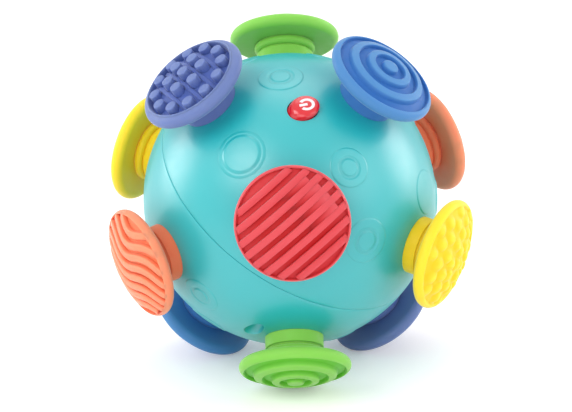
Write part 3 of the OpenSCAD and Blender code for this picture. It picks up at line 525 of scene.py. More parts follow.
def peg_tree():
    """Pegs on the knob's dome: one in the middle and two rings round it."""
    t = Grower("face_pegs", {"Inner radius": 8 * MM, "Inner count": 6, "Outer radius": 16 * MM, "Outer count": 12,
                             "Middle rise": 1 * MM})
    entry = t.entry
    joined = t.put("GeometryNodeJoinGeometry")
    t.tree.links.new(t.get("GeometryNodeMeshLine", {"Count": 1}), joined.inputs[0])
    for ring in ("Inner", "Outer"):
        circle = t.get("GeometryNodeMeshCircle", {"Vertices": entry[ring + " count"],
                                                  "Radius": entry[ring + " radius"]})
        t.tree.links.new(circle, joined.inputs[0])
    x, y, _ = t.spot()
    outer = entry["Outer radius"]
    out = t.over(t.squares(x, y), t.times(outer, outer))
    rise = t.times(t.less(1.0, out), entry["Middle rise"])
    points = t.moved(joined.outputs[0], Position=t.vector(X=x, Y=y, Z=t.add(t.dome(x, y), rise)))
    return t.end(t.get("GeometryNodeInstanceOnPoints", {"Points": points, "Instance": entry["Geometry"]}))


def cobble_tree():
    """Raises pebbles out of a knob's face, in a sunflower spiral that strays a little."""
    t = Grower("face_cobbles", {
        "Count": 36, "Reach": 20 * MM, "Turn": 2.4, "Start": 0.4, "Stray": 0.5 * MM, "Cobble radius": 3.5 * MM,
        "Depth": 2 * MM, "Unevenness": 0.4 * MM, "Seed": 3})
    entry = t.entry
    points = t.get("GeometryNodePoints", {"Count": entry["Count"]})
    index = t.get("GeometryNodeInputIndex")
    r = t.times(t.maths("SQRT", t.over(t.add(index, entry["Start"]), entry["Count"])), entry["Reach"])
    turn = t.times(index, entry["Turn"])
    stray = [t.put("FunctionNodeRandomValue", {"Min": t.times(entry["Stray"], -1.0), "Max": entry["Stray"],
                                               "Seed": t.add(entry["Seed"], float(k))}).outputs["Value"]
             for k in (0, 1)]
    spots = t.moved(points, Position=t.vector(X=t.add(t.times(r, t.maths("COSINE", turn)), stray[0]),
                                              Y=t.add(t.times(r, t.maths("SINE", turn)), stray[1])))
    x, y, z = t.spot()
    flat = t.vector(X=x, Y=y)
    near = t.put("GeometryNodeProximity", {"Target": spots, "Source Position": flat}, target_element="POINTS")
    cloud = t.put("ShaderNodeTexNoise", {"Vector": flat, "Scale": 1 / (6 * MM), "Detail": 1.0})
    uneven = t.times(t.less(cloud.outputs["Fac"], 0.5), entry["Unevenness"])
    cobble = entry["Cobble radius"]
    pit = t.ramp(near.outputs["Distance"], t.times(cobble, 0.3), t.times(cobble, 1.25), 0.0, entry["Depth"])
    across = t.maths("SQRT", t.squares(x, y))
    rim = t.ramp(across, entry["Reach"], t.add(entry["Reach"], 1.6 * MM), 1.0, 0.0)
    on_face = t.maths("GREATER_THAN", z, t.less(t.dome(x, y), SKIN))
    fall = t.times(rim, on_face, t.add(pit, uneven))
    return t.end(t.moved(entry["Geometry"], Offset=t.vector(Z=t.times(fall, -1.0))))


def round_tree():
    """Copies of the start mesh, turned about z."""
    t = Grower("copies_round", {"Count": 4, "Start angle": 0.0, "Step": 1.0}, on_dome=False)
    points = t.get("GeometryNodePoints", {"Count": t.entry["Count"]})
    angle = t.add(t.entry["Start angle"], t.times(t.get("GeometryNodeInputIndex"), t.entry["Step"]))
    return t.end(t.get("GeometryNodeInstanceOnPoints", {"Points": points, "Instance": t.entry["Geometry"],
                                                        "Rotation": t.vector(Z=angle)}))


# Finishes

def new_nodes(owner, output):
    """Empties the node tree of a material or world. Returns it with the socket that ends it."""
    owner.use_nodes = True
    owner.node_tree.nodes.clear()
    nodes = Nodes(owner.node_tree)
    return nodes, nodes.put(output).inputs[0]


def paint(name, colour, roughness=0.5, mottle=0.05, grain=0.0, grain_size=0.3 * MM, subsurface=0.0,
          depth=1.5 * MM, metallic=0.0, coat=0.0, streak=None, rough_spread=0.08, shade_power=0.0, shine=0.5,
          sheen=0.0):
    """A moulded or metal finish on object coordinates: mottled colour, uneven gloss and a fine grain.
    Above 0, the colour is raised to the given power in grooves, by the necks and under the discs: painted shade, a
    deeper colour where light bounces more often."""
    material = bpy.data.materials.new(name)
    colour = colour[:3]
    n, end = new_nodes(material, "ShaderNodeOutputMaterial")
    shader = n.put("ShaderNodeBsdfPrincipled", {
        "Metallic": metallic, "Coat Weight": coat, "Coat Roughness": 0.06, "Subsurface Weight": subsurface,
        "Subsurface Scale": depth, "Subsurface Radius": [0.25 + c for c in colour],
        "Specular IOR Level": shine, "Sheen Weight": sheen, "Sheen Roughness": 0.35})
    where = n.put("ShaderNodeTexCoord").outputs["Object"]
    if streak:
        where = n.get("ShaderNodeMapping", {"Vector": where, "Scale": streak})

    def noise(size, detail):
        return n.put("ShaderNodeTexNoise", {"Vector": where, "Scale": 1 / size, "Detail": detail}).outputs["Fac"]

    shade = n.mixed(noise(10 * MM / 0.35, 4.0), [c * (1 - mottle) for c in colour] + [1],
                    [min(c * (1 + mottle), 1) for c in colour] + [1])
    # Painted shade: where the stored mask says a point lies closed to the light, in grooves, by the neck and under
    # the disc, the colour is raised to the power and grows deeper
    if shade_power:
        height = n.put("ShaderNodeAttribute", attribute_name="face_height").outputs["Fac"]
        peak = max(colour) ** (GROOVE_SHADE_PEAK * (shade_power - 1))
        shade = n.mixed(n.maths("POWER", height, GROOVE_SHADE_FALL), [c ** shade_power / peak for c in colour] + [1], shade)
    n.tree.links.new(shade, shader.inputs["Base Color"])
    gloss = n.ramp(noise(4 * MM, 3.0), 0.3, 0.7, roughness - rough_spread, roughness + rough_spread, "LINEAR")
    n.tree.links.new(gloss, shader.inputs["Roughness"])
    if grain:
        bump = n.get("ShaderNodeBump", {"Strength": grain, "Distance": 0.1 * MM, "Height": noise(grain_size, 2.0)})
        n.tree.links.new(bump, shader.inputs["Normal"])
    n.tree.links.new(shader.outputs[0], end)
    return material


def soft_paint(context, colour):
    # The soft paints carry painted shade in their grooves, by their necks and under their discs
    return paint("soft " + colour, getattr(context.scene.ball_finish, colour), roughness=0.5, mottle=0.05,
                 grain=0.12, grain_size=0.35 * MM, subsurface=0.4, depth=3.5 * MM, shade_power=GROOVE_SHADE_POWER[colour],
                 shine=0.25, sheen=0.25)


def shell_paint(context):
    return paint("shell satin", context.scene.ball_finish.shell, roughness=0.36, mottle=0.025, grain=0.06,
                 grain_size=0.25 * MM, subsurface=0.08, depth=1.2 * MM, rough_spread=0.03, shine=1.0)


# Settings that a user would change

def colour_setting(name, what, *colour):
    return bpy.props.FloatVectorProperty(name=name, description="Colour of " + what, subtype="COLOR",
                                         default=tone(*colour), min=0, max=1)


def length_setting(name, what, default, low, high):
    return bpy.props.FloatProperty(name=name, description=what, subtype="DISTANCE", unit="LENGTH",
                                   default=default * MM, min=low * MM, max=high * MM)


def power_setting(name, where, default):
    return bpy.props.FloatProperty(name=name, description="Power of " + where, unit="POWER", default=default,
                                   min=0)


class BallFinish(bpy.types.PropertyGroup):
    shell: colour_setting("Shell", "both half shells and the battery door", 29, 173, 178)
    red: colour_setting("Red knobs", "the ribbed knobs", 210, 76, 83)
    blue: colour_setting("Blue knobs", "the knobs with rings", 74, 131, 186)
    green: colour_setting("Green knobs", "the knobs with wide rings", 130, 198, 80)
    purple: colour_setting("Purple knobs", "the pegged knobs", 102, 120, 172)
    yellow: colour_setting("Yellow knobs", "the cobbled knobs", 244, 214, 50)
    orange: colour_setting("Orange knobs", "the waved knobs", 240, 142, 106)
    button: colour_setting("Button", "the power button", 208, 18, 34)


class BallFaces(bpy.types.PropertyGroup):
    groove_depth: length_setting("Groove depth", "Depth of the ribs, rings and waves", 2, 1, 3)
    rib_pitch: length_setting("Rib pitch", "Distance from rib to rib on the red knobs", 5.42, 4, 6)
    rib_groove: length_setting("Rib groove", "Width of the grooves between ribs", 2.4, 1.5, 3.5)
    wave_pitch: length_setting("Wave pitch", "Distance from wave to wave on the orange knobs", 5.32, 3.5, 6)
    wave_height: length_setting("Wave height", "How far each wave swings to one side", 1.9, 0.5, 3)
    peg_radius: length_setting("Peg radius", "Radius of the pegs on the purple knobs", 2.65, 2, 3.5)
    cobble_radius: length_setting("Cobble radius", "Radius of the cobbles on the yellow knobs", 3.1, 2, 4.5)
    cobble_count: bpy.props.IntProperty(
        name="Cobbles", description="Number of cobbles on each yellow knob", default=36, min=12, max=60)


class BallButton(bpy.types.PropertyGroup):
    diameter: length_setting("Diameter", "Diameter of the button where it leaves the shell", 11.7, 10, 15)
    stand: length_setting("Stand", "Height of the button over the shell", 2.5, 2, 4)
    taper: length_setting("Taper", "How much smaller the top's radius is", 1.7, 0.2, 2.5)
    sign_radius: length_setting("Sign radius", "Outer radius of the white power sign", 3.2, 2, 4)
    sign_stroke: length_setting("Sign stroke", "Width of the sign's lines", 1.25, 0.5, 1.5)


class BallStudio(bpy.types.PropertyGroup):
    key_power: power_setting("Key light", "the large light at the left", 5.5)
    fill_power: power_setting("Fill light", "the soft lights at the right and above", 2.7)
    low_power: power_setting("Low light", "the light in front, near the floor", 2.5)
    rim_power: power_setting("Rim lights", "the lights behind, at both sides", 4)
    sky: bpy.props.FloatProperty(
        name="Sky", description="Strength of the even light from all round", default=0.75, min=0, max=2)


# Knobs

def collar_outline():
    """Outline of the neck under a knob's disc, from its stem to the seat of the disc."""
    seat = SHELL_R + SKIN
    points = [(0, STEM_END), (STEM_R, STEM_END)]
    points += arc(0, 0, seat, math.degrees(math.acos(STEM_R / seat)), math.degrees(math.acos(NECK_R / seat)), 3)
    points += arc(NECK_R - SOFT_EDGE, NECK_TOP - SOFT_EDGE, SOFT_EDGE, 0, 90, 5)
    return points + [(0, NECK_TOP)]


def knob_back():
    """Outline of a knob's disc from its spigot to the edge of its face."""
    points = [(0, DISC_SEAT), (NECK_R - SLOT_DEPTH, DISC_SEAT)]
    points += arc(BEAD_RING_R, BEAD_Z, BEAD_R, *BEAD_ARC, 12)
    rim_end = math.degrees(math.acos((FACE_R - RIM_RING_R) / RIM_R))
    return points + arc(RIM_RING_R, RIM_MID, RIM_R, RIM_START, rim_end, 18)


def cut_ring(r, inner, outer, depth):
    """How deep a ring groove is at radius r, with soft shoulders."""
    inward = ease((r - inner + GROOVE_WALL / 2) / GROOVE_WALL)
    return depth * inward * ease((outer + GROOVE_WALL / 2 - r) / GROOVE_WALL)


def face_radii(edges):
    """Radii of the face's rings, close together at the walls of its grooves."""
    radii = set(spread(0, DOME_EDGE_R, 26) + spread(DOME_EDGE_R, FACE_R, 4))
    for e in edges:
        radii.update(max(r, 0.0) for r in spread(e - GROOVE_WALL / 2, e + GROOVE_WALL / 2, 8))
    return sorted((r for r in radii if r < FACE_R - SKIN), reverse=True)


def turned_knob(bm, grooves, depth):
    """A knob whose face is round: grooves holds the inner and outer radius of each."""
    edges = [e for groove in grooves for e in groove if 0 < e < FACE_R]
    face = [(r, crest(r) - sum(cut_ring(r, a, b, depth) for a, b in grooves)) for r in face_radii(edges)]
    lathe(bm, knob_back() + face)


def sunk_knob(bm, floor_r, depth):
    """A knob whose face is a floor inside a rim."""
    turned_knob(bm, [(-1, floor_r)], depth)


def painted_shade_openness(p, colour, depth):
    """How open to the light a knob's point lies, the mask of the painted shade: 0 on the floor of the face, 1 on the
    dome and rim, less by the neck.
    """
    r = math.hypot(p.x, p.y)
    if p.z < RIM_MID:
        neck = NECK_SHADE_OPENNESS[colour]
        return neck + (1 - neck) * ease((r - NECK_R) / (KNOB_R - NECK_R))
    if r > FACE_R:
        return 1.0
    middle = 0.45 * KNOB_R
    floor = FLOOR_SHADE_OPENNESS.get(colour, 0.0) * ease((r - middle) / middle)
    return min(max(1 - (crest(r) - p.z) / depth, floor), 1)


def finish_soft(piece, shade_mask_values, soft, colour, node):
    """Stores how open to the light each point lies, for the painted shade in the grooves and under the disc, and
    seats the piece on its node.
    """
    attribute = piece.data.attributes.new("face_height", "FLOAT", "POINT")
    attribute.data.foreach_set("value", shade_mask_values)
    finish_piece(piece, soft, "ball", "soft_" + colour, node)


def knob_pair(context, colour, depth, shape):
    """Both knobs of one colour with their necks. The shape function draws a knob on the z axis."""
    soft = soft_paint(context, colour)
    nodes = [node for node in KNOBS if node.split("_")[1] == colour]
    for node in nodes:
        bm = bmesh.new()
        shape(bm, soft)
        place = knob_place(node)
        bm.transform(place)
        piece = as_object(node + "_soft", bm, 50)
        back = place.inverted()
        # How open to the light each point lies, the mask of the painted shade
        shade_mask_values = [painted_shade_openness(back @ v.co, colour, depth) for v in piece.data.vertices]
        finish_soft(piece, shade_mask_values, soft, colour, node)
    bm = bmesh.new()
    for node in nodes:
        lathe(bm, collar_outline(), place=knob_place(node))
    piece = as_object("collars_%s_soft" % colour, bm, 50)
    # The collars take one even share of painted shade, by how open their neck lies
    finish_soft(piece, [NECK_SHADE_OPENNESS[colour]] * len(piece.data.vertices), soft, colour, "collars_" + colour)


def peg_mesh(radius, height):
    """A peg with a wider foot, a soft edge and its top at z = 0."""
    bm = bmesh.new()
    round_r = 0.4 * MM
    outline = [(0, -height), (radius * 1.08, -height), (radius * 1.04, -height + 0.4 * MM)]
    outline += arc(radius - round_r, -round_r - 0.1 * MM, round_r, 0, 90, 5) + [(radius * 0.4, 0), (0, 0.05 * MM)]
    lathe(bm, outline, 28)
    return to_mesh(bm, "peg")


class BALL_OT_ringed_knobs(bpy.types.Operator):
    """Blue and green knobs, with rings round a boss"""
    bl_idname = "ball.ringed_knobs"
    bl_label = "Ringed knobs"

    def execute(self, context):
        depth = context.scene.ball_faces.groove_depth
        for colour, grooves in RING_GROOVES.items():
            lengths = [(inner * MM, outer * MM) for inner, outer in grooves]
            knob_pair(context, colour, depth, lambda bm, soft: turned_knob(bm, lengths, depth))
        return {"FINISHED"}


class BALL_OT_ribbed_knobs(bpy.types.Operator):
    """Red knobs, with straight ribs across a sunk face"""
    bl_idname = "ball.ribbed_knobs"
    bl_label = "Ribbed knobs"

    def execute(self, context):
        faces = context.scene.ball_faces
        depth = faces.groove_depth
        tree = bar_tree()

        def shape(bm, soft):
            sunk_knob(bm, KNOB_R - 1.1 * MM, depth)
            both = {"Pitch": faces.rib_pitch, "Height": depth + ROOT, "Reach": KNOB_R - 1.4 * MM, "Material": soft}
            ribs = {"Count": 8, "Width": faces.rib_pitch - faces.rib_groove, "Corner": 0.35 * MM,
                    "Shift": -0.35 * MM, "Dive": 0.4 * MM}
            ramps = {"Count": 4, "Width": faces.rib_groove + 0.2 * MM, "Corner": 0.1 * MM, "Shift": 2.36 * MM,
                     "First share": -0.05, "Last share": 0.83, "Ramp": 19 * MM}
            absorb(bm, tree.grow({**both, **ramps}))
            bm.transform(spun(RIB_TURN))
            absorb(bm, tree.grow({**both, **ribs}), RIB_TURN)

        knob_pair(context, "red", depth, shape)
        return {"FINISHED"}


class BALL_OT_waved_knobs(bpy.types.Operator):
    """Orange knobs, with waves across a sunk face"""
    bl_idname = "ball.waved_knobs"
    bl_label = "Waved knobs"

    def execute(self, context):
        faces = context.scene.ball_faces
        depth = faces.groove_depth
        tree = bar_tree()

        def shape(bm, soft):
            sunk_knob(bm, KNOB_R - 1.3 * MM, depth)
            absorb(bm, tree.grow({
                "Count": 8, "Pitch": faces.wave_pitch, "Width": faces.wave_pitch - WAVE_GROOVE,
                "Height": depth + ROOT, "Corner": 0.9 * MM, "Reach": KNOB_R - 1.5 * MM, "Shift": 1.36 * MM,
                "Dive": 0.6 * MM, "Wave height": faces.wave_height, "Wave length": 28.4 * MM,
                "Wave start": 5.84 * MM, "Material": soft}), WAVE_TURN)

        knob_pair(context, "orange", depth, shape)
        return {"FINISHED"}


class BALL_OT_pegged_knobs(bpy.types.Operator):
    """Purple knobs, with round pegs on a sunk floor"""
    bl_idname = "ball.pegged_knobs"
    bl_label = "Pegged knobs"

    def execute(self, context):
        depth = PEG_FLOOR_DEPTH
        floor_r = KNOB_R - 4 * MM
        pegs, ribs = peg_tree(), bar_tree()

        def shape(bm, soft):
            sunk_knob(bm, floor_r, depth)
            lip = [(KNOB_R - (2.7 + 0.9 * t) * MM, PEG_LIP_H * math.sin(math.pi * t)) for t in spread(0, 1, 8)]
            lathe(bm, [(r, crest(r) + rise - 0.02 * MM) for r, rise in lip])
            absorb(bm, ribs.grow({
                "Count": 4, "Pitch": 7.4 * MM, "Width": 1.9 * MM, "Height": 2 * MM, "Corner": 0.5 * MM,
                "Reach": floor_r + 0.3 * MM, "Dome radius": DOME_R - 2.4 * MM, "Material": soft}), PEG_RIB_TURN)
            peg = peg_mesh(context.scene.ball_faces.peg_radius, depth + 1.2 * MM)
            absorb(bm, pegs.grow({
                "Inner radius": 8.5 * MM, "Inner count": 6, "Outer radius": 17.2 * MM, "Outer count": 12,
                "Middle rise": 0.9 * MM, "Material": soft}, peg))

        knob_pair(context, "purple", depth, shape)
        return {"FINISHED"}


class BALL_OT_cobbled_knobs(bpy.types.Operator):
    """Yellow knobs, with rounded cobbles inside a smooth rim"""
    bl_idname = "ball.cobbled_knobs"
    bl_label = "Cobbled knobs"

    def execute(self, context):
        faces = context.scene.ball_faces
        tree = cobble_tree()

        def shape(bm, soft):
            plain = bmesh.new()
            lathe(plain, knob_back() + [(r, crest(r)) for r in spread(FACE_R, 0, 68)[1:]], FINE_STEPS)
            absorb(bm, tree.grow({
                "Count": faces.cobble_count, "Reach": KNOB_R - 3 * MM, "Turn": math.radians(COBBLE_TURN),
                "Start": 0.4, "Stray": 0.8 * MM, "Cobble radius": faces.cobble_radius, "Depth": COBBLE_DEPTH,
                "Unevenness": 0.9 * MM, "Seed": 3, "Material": soft}, to_mesh(plain, "knob")))

        knob_pair(context, "yellow", COBBLE_DEPTH, shape)
        return {"FINISHED"}


# Shells

def relief(bm, polar, az, radius, kind):
    """A shallow round relief as a cap that rises out of the shell, with its edge tucked in."""
    outline = []
    for t in spread(1, 0, 48):
        angle = t * radius * MM / SHELL_R
        height = sum(share * ease((at - t) / width + 0.5) for share, at, width in RELIEF_STEPS[kind])
        r = SHELL_R + (RELIEF_H * height + (RELIEF_LIFT - RELIEF_TUCK * t ** 12) * MM)
        outline.append((r * math.sin(angle), r * math.cos(angle)))
    lathe(bm, outline, 96, turned(polar, az))


def rod(bm, radius, low, high, place, steps=64):
    lathe(bm, [(0, low), (radius, low), (radius, high), (0, high)], steps, place)


def half_shell(side):
    """One half shell, 1 for the upper and -1 for the lower, with its seam edge and the lip or its groove."""
    bm = bmesh.new()
    edge = math.degrees(SEAM / SHELL_R) * 1.6
    groove_r, groove_h = LIP_R + LIP_PLAY, LIP_H + LIP_ROOM
    low = math.degrees(math.asin(groove_h / INNER_R))
    if side > 0:
        outline = arc(0, 0, INNER_R, 90, low, 60)
        outline += [(groove_r, groove_h), (groove_r, SKIN), (SHELL_R - SEAM, SKIN)]
        outline += [(SHELL_R - SEAM_DROP, SEAM * 0.7)]
        outline += arc(0, 0, SHELL_R, edge, 90, 90)
    else:
        outline = arc(0, 0, SHELL_R, -90, -edge, 90)
        outline += [(SHELL_R - SEAM_DROP, -SEAM * 0.7), (SHELL_R - SEAM, -SKIN), (LIP_R, -SKIN)]
        outline += [(LIP_R, LIP_H), (LIP_R - LIP_T, LIP_H), (LIP_R - LIP_T, -LIP_H)]
        outline += arc(0, 0, INNER_R, -low, -90, 60)
    outline[0] = (0, outline[0][1])
    outline[-1] = (0, outline[-1][1])
    lathe(bm, outline, 240)
    return as_object("half", bm)


def cut(piece, cutter):
    """Takes the cutter out of the piece and returns the plain result."""
    modifier = piece.modifiers.new("cut", "BOOLEAN")
    modifier.operation = "DIFFERENCE"
    modifier.solver = "EXACT"
    modifier.object = cutter
    mesh = evaluated_mesh(piece)
    drop(piece)
    drop(cutter)
    return mesh


def sleeve_mesh(ring_r, outline):
    """A sleeve parallel to the shell's axis. A z of 1 or -1 stands for a place inside the shell's wall."""
    bm = bmesh.new()
    wall_r = INNER_R + 1 * MM

    def height(x, y, z):
        if abs(z) < 1:
            return z
        return math.copysign(math.sqrt(wall_r ** 2 - (ring_r + x) ** 2 - y ** 2), z)

    lathe(bm, outline + outline[:1], 48, height=height)
    bmesh.ops.remove_doubles(bm, verts=bm.verts, dist=0.001 * MM)
    bm.transform(Matrix.Translation((ring_r, 0, 0)))
    return to_mesh(bm, "sleeve")


def screw_sleeves(skin):
    """The deep recesses of the shell screws, with the seat of each head."""
    recess_r = RECESS_R - 0.02 * MM
    outline = [(SCREW_HOLE_R, 0), (SCREW_HOLE_R, RECESS_FLOOR), (recess_r, RECESS_FLOOR), (recess_r, -1),
               (RECESS_R + BOSS_WALL, -1), (RECESS_R + BOSS_WALL, 0)]
    return round_tree().grow({"Count": BOSS_COUNT, "Start angle": math.radians(BOSS_AZ),
                              "Step": math.radians(BOSS_STEP), "Material": skin},
                             sleeve_mesh(BOSS_RING_R, outline))


def button_sleeve(bore):
    """The guide that the power button slides in."""
    end = math.sqrt(INNER_R ** 2 - (BUTTON_RING_R + bore) ** 2)
    outline = [(bore, end), (bore, 1), (bore + BUTTON_GUIDE, 1), (bore + BUTTON_GUIDE, end)]
    mesh = sleeve_mesh(BUTTON_RING_R, outline)
    mesh.transform(spun(BUTTON_AZ))
    return mesh


class BALL_OT_shells(bpy.types.Operator):
    """Both half shells, with their openings, reliefs and screw recesses"""
    bl_idname = "ball.shells"
    bl_label = "Half shells"

    def execute(self, context):
        skin = shell_paint(context)
        for side, node, reliefs in ((1, "upper_shell", UPPER_RELIEFS), (-1, "lower_shell", LOWER_RELIEFS)):
            bm = bmesh.new()
            for polar, az in KNOBS.values():
                if (polar < 90) == (side > 0):
                    rod(bm, STEM_R + KNOB_HOLE_PLAY, CUT_IN, CUT_OUT, turned(polar, az))
            if side > 0:
                bore = context.scene.ball_button.diameter / 2 + BUTTON_GAP
                rod(bm, bore, BUTTON_LOW, CUT_OUT, ring_place(BUTTON_RING_R, BUTTON_AZ))
                sleeves = button_sleeve(bore)
            else:
                for k in range(BOSS_COUNT):
                    rod(bm, RECESS_R, -SHELL_R, RECESS_CUT_END, ring_place(BOSS_RING_R, BOSS_AZ + BOSS_STEP * k))
                rod(bm, BAY_OPENING_R, CUT_IN, CUT_OUT, turned(BAY_POLAR, BAY_AZ), 96)
                sleeves = screw_sleeves(skin)
            shell = cut(half_shell(side), as_object("cutter", bm))
            bm = bmesh.new()
            absorb(bm, shell)
            absorb(bm, sleeves)
            for place in reliefs:
                relief(bm, *place)
            bm.transform(SHELL)
            finish_piece(as_object(node + "_skin", bm, 32), skin, "ball", "shell_teal", node)
        return {"FINISHED"}


# Power button

def button_top(x, y, stand):
    return math.sqrt((SHELL_R + stand) ** 2 - (BUTTON_RING_R + x) ** 2 - y ** 2)


def sign_strip(bm, path, stroke, stand):
    """A raised line on the button's top that follows a path, with its sides closed down."""
    rows = []
    for i, (x, y) in enumerate(path):
        before = Vector(path[max(i - 1, 0)])
        after = Vector(path[min(i + 1, len(path) - 1)])
        side = (after - before).normalized()
        across = Vector((-side.y, side.x)) * stroke / 2
        row = []
        for share, up in SIGN_SECTION:
            px, py = x + across.x * share, y + across.y * share
            row.append(bm.verts.new((px, py, button_top(px, py, stand) + up)))
        rows.append(row)
    for a, b in zip(rows, rows[1:]):
        for k in range(len(a) - 1):
            bm.faces.new((a[k], a[k + 1], b[k + 1], b[k]))
    bm.faces.new(rows[0])
    bm.faces.new(list(reversed(rows[-1])))


class BALL_OT_button(bpy.types.Operator):
    """The red power button with its white sign"""
    bl_idname = "ball.button"
    bl_label = "Power button"

    def execute(self, context):
        button = context.scene.ball_button
        place = SHELL @ ring_place(BUTTON_RING_R, BUTTON_AZ)
        self.add_cap(context, button, place)
        self.add_sign(button, place)
        return {"FINISHED"}

    def add_cap(self, context, button, place):
        red = paint("button gloss", context.scene.ball_finish.button, roughness=0.2, mottle=0.03, coat=0.6,
                    rough_spread=0.04)
        r_low = button.diameter / 2
        r_top = r_low - button.taper

        def height(x, y, depth):
            """Height at a depth under the top. A depth of -1 stands for the hidden end."""
            return BUTTON_LOW if depth < 0 else button_top(x, y, button.stand) - depth

        bm = bmesh.new()
        outline = [(0, -1), (r_low, -1)]
        outline += [(r_low, BUTTON_ROUND + BUTTON_WALL * share) for share in (1.0, 0.6, 0.3, 0.1, 0.0)]
        outline += [(r_low - button.taper * (1 - c), BUTTON_ROUND * (1 - s)) for c, s in arc(0, 0, 1, 0, 90, 8)[1:]]
        outline += [(r_top * share, 0) for share in (0.8, 0.6, 0.4, 0.2, 0)]
        lathe(bm, outline, 96, height=height)
        bm.transform(place)
        finish_piece(as_object("power_button_cap", bm, 45), red, "power_button", "button_red", "power_button")

    def add_sign(self, button, place):
        white = paint("sign white", tone(246, 228, 232), roughness=0.35, mottle=0.02)
        mid = button.sign_radius - button.sign_stroke / 2
        bm = bmesh.new()
        ring = arc(0, 0, mid, SIGN_OPENING, 360 - SIGN_OPENING, 48)
        bar = [(x, 0) for x in spread(-0.2 * MM, button.sign_radius * 0.92, 6)]
        for path in (ring, bar):
            sign_strip(bm, path, button.sign_stroke, button.stand)
        for v in bm.verts:
            flat = spun(SIGN_TURN) @ Vector((v.co.x, v.co.y, 0))
            lift = v.co.z - button_top(v.co.x, v.co.y, button.stand)
            v.co = (flat.x, flat.y, button_top(flat.x, flat.y, button.stand) + lift)
        bm.transform(place)
        finish_piece(as_object("power_button_sign", bm, 60), white, "power_button", "button_red")


# Pieces that keep their solids

class BALL_OT_inner_finishes(bpy.types.Operator):
    """Finishes of the drive, the board, the battery bay and the screws"""
    bl_idname = "ball.inner_finishes"
    bl_label = "Inner finishes"

    def execute(self, context):
        paints = {slot: paint(slot.replace("_", " "), tone(*colour), roughness, mottle, **extra)
                  for slot, (colour, roughness, mottle, extra) in INNER_FINISHES.items()}
        paints["shell_teal"] = shell_paint(context)
        for part in frame["record"]["subparts"]:
            made = paints.get(part["material_slot"])
            if made:
                piece = frame["nodes"][part["node"]]
                piece.data.materials.clear()
                piece.data.materials.append(made)
        return {"FINISHED"}


# Studio

def area_light(name, power, size, at):
    """A round soft light that points at the ball."""
    lamp = bpy.data.lights.new(name, "AREA")
    lamp.energy = power
    lamp.shape = "DISK"
    lamp.size = size
    made = linked(name, lamp)
    made.location = at
    made.rotation_euler = (-Vector(at)).to_track_quat("-Z", "Y").to_euler()


def camera_rays(nodes):
    """1 for rays that see the backdrop straight, in a reflection or through glass."""
    path = nodes.put("ShaderNodeLightPath").outputs
    return nodes.maths("MAXIMUM", path["Is Camera Ray"], path["Is Glossy Ray"], path["Is Transmission Ray"])


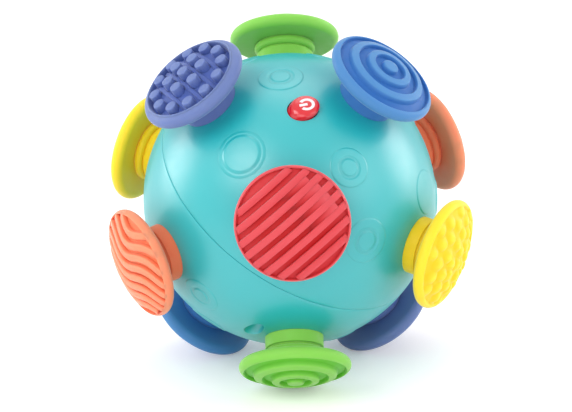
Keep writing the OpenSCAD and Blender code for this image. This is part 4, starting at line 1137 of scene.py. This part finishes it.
class BALL_OT_studio(bpy.types.Operator):
    """Floor, soft lights, pale world and the camera"""
    bl_idname = "ball.studio"
    bl_label = "Studio"

    def execute(self, context):
        scene = context.scene
        studio = scene.ball_studio
        self.add_floor()
        scene.world = bpy.data.worlds.new("studio")
        n, end = new_nodes(scene.world, "ShaderNodeOutputWorld")
        even, white = [n.get("ShaderNodeBackground", {"Color": WHITE, "Strength": strength})
                       for strength in (studio.sky, 1.0)]
        n.tree.links.new(n.get("ShaderNodeMixShader", {0: camera_rays(n), 1: even, 2: white}), end)
        for name, power, size, at in LIGHTS:
            area_light(name, getattr(studio, power), size, at)
        self.add_camera(scene)
        scene.view_settings.view_transform = "Standard"
        return {"FINISHED"}

    def add_floor(self):
        bm = bmesh.new()
        bmesh.ops.create_grid(bm, x_segments=1, y_segments=1, size=FLOOR_HALF,
                              matrix=Matrix.Translation((0, 0, CAD_BOX[0].z)))
        floor = as_object("floor", bm)
        card = bpy.data.materials.new("floor card")
        n, end = new_nodes(card, "ShaderNodeOutputMaterial")
        matt = n.get("ShaderNodeBsdfDiffuse", {"Color": FLOOR_GREY})
        glow = n.get("ShaderNodeEmission", {"Strength": n.times(camera_rays(n), FLOOR_GLOW)})
        n.tree.links.new(n.get("ShaderNodeAddShader", {0: matt, 1: glow}), end)
        floor.data.materials.append(card)

    def add_camera(self, scene):
        up = math.radians(CAMERA_ELEVATION)
        side = math.radians(CAMERA_AZIMUTH)
        toward = Vector((math.cos(up) * math.sin(side), -math.cos(up) * math.cos(side), math.sin(up)))
        level = Vector((math.cos(side), math.sin(side), 0))
        upright = toward.cross(level)
        roll = math.radians(CAMERA_ROLL)
        across = level * math.cos(roll) + upright * math.sin(roll)
        above = toward.cross(across)
        at = toward * CAMERA_DISTANCE - across * CAMERA_SIDE - above * CAMERA_UP
        data = bpy.data.cameras.new("camera")
        data.lens = CAMERA_LENS
        data.sensor_width = 36
        data.clip_start = 0.05
        camera = linked("camera", data)
        camera.matrix_world = Matrix.Translation(at) @ Matrix((across, above, toward)).transposed().to_4x4()
        scene.camera = camera


class BALL_PT_panel(bpy.types.Panel):
    """Lists the ball's pieces and settings"""
    bl_label = "Sensory ball"
    bl_idname = "BALL_PT_panel"
    bl_space_type = "VIEW_3D"
    bl_region_type = "UI"
    bl_category = "Sensory ball"

    def draw(self, context):
        for name in GROUPS:
            group = getattr(context.scene, name)
            for setting in group.__annotations__:
                self.layout.prop(group, setting)
        for operator in PIECES:
            self.layout.operator(operator.bl_idname)


PIECES = (BALL_OT_shells, BALL_OT_ringed_knobs, BALL_OT_ribbed_knobs, BALL_OT_waved_knobs, BALL_OT_pegged_knobs,
          BALL_OT_cobbled_knobs, BALL_OT_button, BALL_OT_inner_finishes, BALL_OT_studio)
GROUPS = {"ball_finish": BallFinish, "ball_faces": BallFaces, "ball_button": BallButton,
          "ball_studio": BallStudio}
KINDS = (*GROUPS.values(), *PIECES, BALL_PT_panel)


def register():
    for kind in KINDS:
        bpy.utils.register_class(kind)
    for name, kind in GROUPS.items():
        setattr(bpy.types.Scene, name, bpy.props.PointerProperty(type=kind))


def unregister():
    for name in GROUPS:
        delattr(bpy.types.Scene, name)
    for kind in reversed(KINDS):
        bpy.utils.unregister_class(kind)


def main():
    register()
    bpy.ops.ball.shells()
    bpy.ops.ball.ringed_knobs()
    bpy.ops.ball.ribbed_knobs()
    bpy.ops.ball.waved_knobs()
    bpy.ops.ball.pegged_knobs()
    bpy.ops.ball.cobbled_knobs()
    bpy.ops.ball.button()
    bpy.ops.ball.inner_finishes()
    bpy.ops.ball.studio()


if __name__ == "__main__":
    main()
